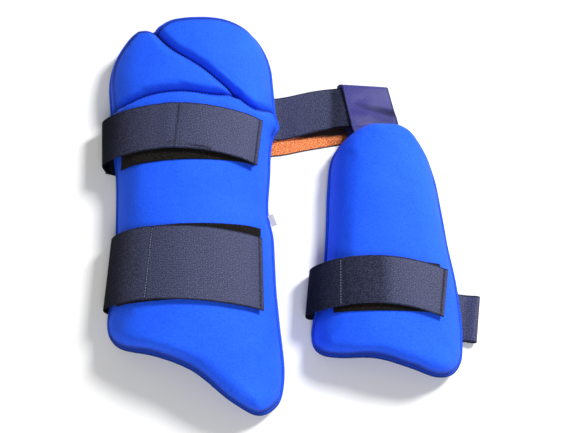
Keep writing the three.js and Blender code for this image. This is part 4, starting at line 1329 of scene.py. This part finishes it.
belt_width, belt_wall, lining_wall = 50, 1.4, 1
hanger_width, hanger_wall, hanger_reach = 50, 1.3, 59
belt_stack = belt_wall + layer_gap + lining_wall
small_shift = (small_place - large_place)[:2]
hanger_top_shift, hanger_foot_shift = -14.5, -4
hanger_back_shift = -5  # its back layer lies this much further left than its front
hanger_fold_y = small_shift[1] + small_guard.half[1] + hanger_reach
hanger_top_x = small_shift[0] + hanger_top_shift


def belt_point(x, y, z, lean, tilt):
    return np.array([x, y, z]), unit([-math.sin(lean), math.cos(lean), -math.sin(tilt)])


def belt_keys():
    guard = large_guard
    start_y = 0.511 * guard.half[1]
    edge_x, far_x = float(guard.right(start_y)), float(guard.left(start_y))

    def start_z(x):
        under = guard.under(np.full(5, float(x)), start_y + fifths * belt_width).min()
        return under - layer_gap - belt_wall / 2 - 0.2

    top_y = hanger_fold_y - hanger_wall - layer_gap - belt_width / 2 - 0.8
    floor_z = belt_wall / 2
    over_z = belt_stack + 3 * layer_gap + hanger_wall + lining_wall + belt_wall / 2 + 1.3
    turn_y = top_y - 4
    radius = (over_z + 0.6 - floor_z) / 2
    lean = math.atan((hanger_foot_shift - hanger_top_shift) / hanger_reach)
    hanger_right = hanger_top_x + hanger_width / 2 + (hanger_fold_y - turn_y) * math.tan(lean)
    turn_x = hanger_right + hanger_back_shift + 2 * layer_gap + 0.4 + belt_wall / 2 + lining_wall
    turn_x -= 0.9 * radius
    run = [
        belt_point(edge_x - 15, start_y, start_z(edge_x - 15), 0, 0),
        belt_point(edge_x - 7, start_y + 0.4, start_z(edge_x - 7), 0.04, 0),
        belt_point(edge_x + 1, start_y + 1.4, start_z(edge_x - 1), 0.12, 0),
    ]
    for share_x, share_y, z, turned, tilt in (
        (0.2, 0.35, start_z(edge_x - 1) + 1.2, 0.2, 0.05),
        (0.45, 0.75, over_z - 0.2, 0.19, 0.09),
        (0.7, 0.97, over_z + 1.6, 0.13, 0.13),
    ):
        x, y = mix(edge_x, hanger_top_x, share_x), mix(start_y, top_y, share_y)
        run.append(belt_point(x, y, z, turned, tilt))
    run += [
        belt_point(hanger_top_x - 2, top_y - 0.5, over_z + 2.6, 0, 0.14),
        belt_point(hanger_top_x + 11, top_y - 3, over_z + 2.2, -0.04, 0.11),
        belt_point(turn_x - 8, turn_y - 0.6, over_z + 0.8, 0.6 * lean, 0.02),
    ]
    for share in (0, 0.2, 0.4, 0.6, 0.8, 1):
        angle = math.pi * (0.5 - share)
        x = turn_x + 0.9 * radius * math.cos(angle)
        z = floor_z + radius + radius * math.sin(angle) + 0.25 * share
        run.append(belt_point(x, turn_y, z, lean, 0))
    for share, rise in ((0.12, 0.1), (0.45, 0), (0.8, 0)):
        x, y = mix(turn_x, edge_x, share), mix(turn_y - 1, start_y - 14.5, share)
        run.append(belt_point(x, y, floor_z + rise, 0.13, 0))

    def home(x):
        return float(guard.under(x, start_y + 6)) - layer_gap - belt_wall - lining_wall - 1.6

    for inset, shift, z, turned in (
        (0, -15, floor_z, 0.1),
        (24, -15, floor_z, -0.02),
        (50, -11, floor_z, -0.16),
        (74, -5, floor_z + 0.3, -0.26),
        (98, 2.5, floor_z + 3, -0.32),
    ):
        run.append(belt_point(edge_x - inset, start_y + shift, z, turned, 0))
    for inset, shift, z in (
        (58, 9.5, home(far_x + 42) * 0.6),
        (43, 15, home(far_x + 28) - 2.6),
        (32, 18.5, home(far_x + 17) - 1.4),
    ):
        run.append(belt_point(far_x + inset, start_y + shift, z, -0.32, 0))
    return run


def smooth_route(keys):
    """The keys and a station halfway between each two, on a smooth line, in their place."""
    steps = 2
    line = line_through([at for at, _ in keys], False, steps)
    route = []
    for i, at in enumerate(line):
        k = min(len(keys) - 2, i // steps)
        route.append((at + large_place, unit(mix(keys[k][1], keys[k + 1][1], i / steps - k))))
    return route


# Brushed polyester fleece: a short orange nap, dull and uneven. The fibres are far finer than the
# 1.2 mm tufts drawn here, which is the coarseness that the nap shows from a little way off.
fleece = new_finish(
    "brushed_orange_fleece",
    roughness=0.95,
    ior=1.46,
    sheen_weight=0.1,
    sheen_roughness=0.6,
    sheen_tint=linear("#FFC49A"),
)
flat_place = add(fleece, "Attribute", {}, attribute_name="cloth").outputs["Vector"]
painted_fleece_shadow = add(fleece, "SeparateXYZ", {0: flat_place}).outputs[2]
tufts = add(fleece, "TexNoise", {"Vector": flat_place, "Scale": 0.65, "Detail": 3, "Roughness": 0.7})
tuft_share = add(fleece, "MapRange", {"Value": tufts.outputs["Fac"], "From Min": 0.36, "From Max": 0.66})
colours = {0: tuft_share.outputs[0], 6: linear("#A83408"), 7: linear("#FFA464")}
napped = add(fleece, "Mix", colours, data_type="RGBA")
# painted shadow of the belt's upper layer on the nap, and painted shade beside the hanger
colours = {0: painted_fleece_shadow, 6: napped.outputs[2], 7: linear("#1E0C08")}
shadowed_nap = add(fleece, "Mix", colours, data_type="RGBA")
bump = add(fleece, "Bump", {"Height": tufts.outputs["Fac"], "Strength": 0.7, "Distance": 0.0007})
lead(fleece, base_color=shadowed_nap.outputs[2], normal=bump.outputs[0])


def belt_shade(at, s, v, whole):
    # painted shade where it goes into the hanger and along the selvedges, and a little darker all over
    into = eased(np.clip((at[..., 0] - 44) / 8, 0, 1))
    return np.clip(0.16 + 0.5 * into + 0.5 * (belt_width / 2 - np.abs(v) < 1.2), 0, 1)


def fleece_shade(at, s, v, whole):
    # painted shadow of the upper layer on the returning layer, and painted shade beside the hanger
    x, y = at[..., 0], at[..., 1]
    upper_edge = mix(84, 87.5, (x - 15) / 50)
    under = eased(np.clip((y - upper_edge + 2.5) / 3, 0, 1)) * eased(np.clip((x - 2) / 14, 0, 1))
    return np.clip(np.maximum(under, 0.3 * eased(np.clip((x - 40) / 8, 0, 1))), 0, 1)


belt_route = smooth_route(belt_keys())
belt, whole, _ = band(
    "waist_belt_cloth", belt_route, belt_width, belt_wall, elastic_cloth, shade=belt_shade
)
dressed(belt, "navy_elastic", "waist_belt_elastic")
lining, lining_length, _ = band(
    "waist_belt_fleece",
    belt_route,
    belt_width - 1,
    lining_wall,
    fleece,
    offset=-(belt_wall + layer_gap + lining_wall) / 2,
    fuzz=0.05,
    shade=fleece_shade,
)
dressed(lining, "orange_lining", "waist_belt_lining")


# Hanger
# A loop of purple satin webbing, 50 mm wide, sewn under the small guard's hip end. The belt runs
# through it, and the slack of the loop makes a soft crease across its front.

# Satin webbing: long floats in a slanting twill that glitter, over a dark ground. The real twill is
# about 0.8 mm, drawn at 1.6 mm so that it shows.
webbing = new_finish(
    "purple_satin_webbing",
    roughness=0.45,
    ior=1.5,
    anisotropic=0.5,
    sheen_weight=0.05,
    sheen_roughness=0.35,
    sheen_tint=linear("#B9B0F0"),
)
flat_place = add(webbing, "Attribute", {}, attribute_name="cloth").outputs["Vector"]
painted_fold_shade = add(webbing, "SeparateXYZ", {0: flat_place}).outputs[2]
slanting = {"Vector": flat_place, "Angle": math.radians(28)}
turned_place = add(webbing, "VectorRotate", slanting, rotation_type="Z_AXIS").outputs[0]
twill_wave = {"Vector": turned_place, "Scale": period(1.6), "Distortion": 1.2, "Detail": 2}
twill = add(webbing, "TexWave", twill_wave, bands_direction="X")
yarn_wave = {"Vector": flat_place, "Scale": period(1.3), "Distortion": 0.8, "Detail": 2}
yarns = add(webbing, "TexWave", yarn_wave, bands_direction="Y")
shine = add(webbing, "TexNoise", {"Vector": flat_place, "Scale": 0.12, "Detail": 3})
twill_yarn = add(webbing, "Math", {0: twill.outputs["Fac"], 1: yarns.outputs["Fac"]}, operation="MULTIPLY")
colours = {0: shine.outputs["Fac"], 6: linear("#1C1A4A"), 7: linear("#2A2770")}
satin_dark = add(webbing, "Mix", colours, data_type="RGBA")
colours = {0: twill_yarn.outputs[0], 6: satin_dark.outputs[2], 7: linear("#5A58AC")}
satin = add(webbing, "Mix", colours, data_type="RGBA")
# painted shade in the slack's fold and at its edges, with less gloss there
colours = {0: painted_fold_shade, 6: satin.outputs[2], 7: linear("#100E24")}
shaded_satin = add(webbing, "Mix", colours, data_type="RGBA")
satin_gloss = add(webbing, "MapRange", {"Value": painted_fold_shade, "To Min": 0.4, "To Max": 0.1})
bump = add(webbing, "Bump", {"Height": twill_yarn.outputs[0], "Strength": 0.35, "Distance": 0.0004})
lead(
    webbing,
    base_color=shaded_satin.outputs[2],
    specular_ior_level=satin_gloss.outputs[0],
    normal=bump.outputs[0],
)


def hanger_keys():
    guard = small_guard
    foot_x, foot_y = small_shift[0] + hanger_foot_shift, small_shift[1] + guard.half[1]
    sides = hanger_foot_shift + np.array([-0.5, 0.5]) * hanger_width

    def room_under(shift):
        under = guard.under(sides + shift, np.full(2, guard.half[1] - 9)).min()
        return under - layer_gap - hanger_wall / 2

    belt_z = belt_stack + 3 * layer_gap + hanger_wall + lining_wall + belt_wall + 0.9
    low = belt_stack + layer_gap + 0.3 + hanger_wall / 2
    top, back_top = room_under(0), room_under(hanger_back_shift)

    def point(length, z, tilt, shift):
        share = length / hanger_reach
        lean = mix(-0.02, 0.07, share)
        x = mix(foot_x, hanger_top_x, share) + shift * hanger_back_shift
        at = [x, mix(foot_y, hanger_fold_y, share), z]
        return np.array(at), unit([math.cos(lean), -math.sin(lean), math.sin(tilt)])

    fold_at = hanger_reach
    # length from the foot, height, tilt, and the share of the back layer's shift
    rows = [
        (-9, top, 0, 0),
        (-3, top - 0.6, 0, 0),
        (2, top - 2.2, 0.02, 0),
        (7, mix(top, belt_z, 0.42), 0.03, 0),
        (14, belt_z + 8.4, 0.03, 0),
        (25, belt_z + 5.4, 0.01, 0),
        (fold_at - 17, belt_z + 3.3, 0, 0),
        (fold_at - 7, belt_z + 2.2, 0, 0),
        (fold_at - 2.2, belt_z + 1.1, 0, 0),
        (fold_at - 0.4, mix(belt_z, low, 0.35), 0, 0.3),
        (fold_at - 0.4, mix(belt_z, low, 0.72), 0, 0.7),
        (fold_at - 2.2, low + 0.15, 0, 1),
        (fold_at - 7, low, 0, 1),
        (30, low, 0, 1),
        (6, low, 0, 1),
        (0, low + 0.4, 0, 1),
        (-4, low + 3.2, 0, 1),
        (-7, mix(low, back_top, 0.4), 0, 1),
        (-10, mix(low, back_top, 0.66), 0, 1),
        (-15, back_top - hanger_wall - 1.4, 0, 1),
    ]
    return [point(*row) for row in rows]


def hanger_crease(s, v, whole):
    # the slack gathers in one deep slanting fold, with two soft ones beside it
    deep = fold(s, v, (36, -20), (28, 24), 3.6, -1.6)
    beside = fold(s, v, (24, -20), (20, 25), 4.5, 0.7) + fold(s, v, (46, -25), (56, 6), 5, 0.4)
    return deep + beside


def slack_shade(at, s, v, whole):
    # painted shade: a wedge that opens to the right across the front, a thin dark line at the fold, and
    # darker selvedges
    share = np.clip((v + 16) / 36, 0, 1)
    wedge = np.exp(-(((s - mix(46, 33, share)) / mix(2, 7.5, share)) ** 4)) * mix(0.3, 1, share)
    wedge = wedge * (share > 0)
    top_line = np.exp(-(((at[..., 1] - at[..., 1].max()) / 1.2) ** 2))
    sides = 0.5 * (hanger_width / 2 - np.abs(v) < 1.2)
    return np.clip(np.maximum(0.75 * wedge, np.maximum(0.8 * top_line, sides)), 0, 1)


hanger, whole, _ = band(
    "inner_hanger_webbing",
    smooth_route(hanger_keys()),
    hanger_width,
    hanger_wall,
    webbing,
    lift=hanger_crease,
    step=1.4,
    shade=slack_shade,
)
dressed(hanger, "purple_webbing", "inner_hanger_loop")


# Studio
# A pale matt floor, a soft key light from the upper right and a bright room. The camera stands
# where the photograph was taken from, a little below the guards and looking steeply down.

# Matt paper: no gloss, and so faintly mottled that it looks plain.
floor_paper = new_finish("matt_studio_paper", roughness=0.9, ior=1.45)
place = add(floor_paper, "TexCoord", {}).outputs["Object"]
place = add(floor_paper, "VectorMath", {0: place, "Scale": 1000}, operation="SCALE").outputs[0]
fibres = add(floor_paper, "TexNoise", {"Vector": place, "Scale": 0.05, "Detail": 3})
colours = {0: fibres.outputs["Fac"], 6: linear("#F3F3F2"), 7: linear("#F7F7F6")}
paper = add(floor_paper, "Mix", colours, data_type="RGBA")
lead(floor_paper, base_color=paper.outputs[2])
span = 4000
floor = new_piece(
    "studio_floor",
    [(-span, -span, 0), (span, -span, 0), (span, span, 0), (-span, span, 0)],
    [(0, 1, 2, 3)],
    floor_paper,
)


def placed(name, data, place, aim):
    """A lamp or camera at a place in millimetres, turned to look at another."""
    holder = bpy.data.objects.new(name, data)
    bpy.context.scene.collection.objects.link(holder)
    holder.location = np.array(place) * MM
    way = (np.array(aim) - np.array(place)) * MM
    holder.rotation_mode = "QUATERNION"
    holder.rotation_quaternion = Vector(way).to_track_quat("-Z", "Y")
    return holder


def soft_light(name, place, size, power):
    lamp = bpy.data.lights.new(name, "AREA")
    lamp.shape = "DISK"
    lamp.size = size * MM
    lamp.energy = power
    return placed(name, lamp, place, (0, 0, 20))


key_light = soft_light("key_light", (1050, 750, 1250), 460, 42)
fill_light = soft_light("fill_light", (100, -1200, 1400), 900, 12)
room = bpy.data.worlds.new("studio_room")
room.use_nodes = True
room.node_tree.nodes["Background"].inputs["Color"].default_value = linear("#FFFFFF")
room.node_tree.nodes["Background"].inputs["Strength"].default_value = 0.31
bpy.context.scene.world = room
bpy.context.scene.view_settings.view_transform = "Standard"

camera_data = bpy.data.cameras.new("camera")
camera_data.sensor_width = 36
camera_data.lens = 53.34
bpy.context.scene.camera = placed("camera", camera_data, (2.45, -296, 840), (2.45, -4, 0))
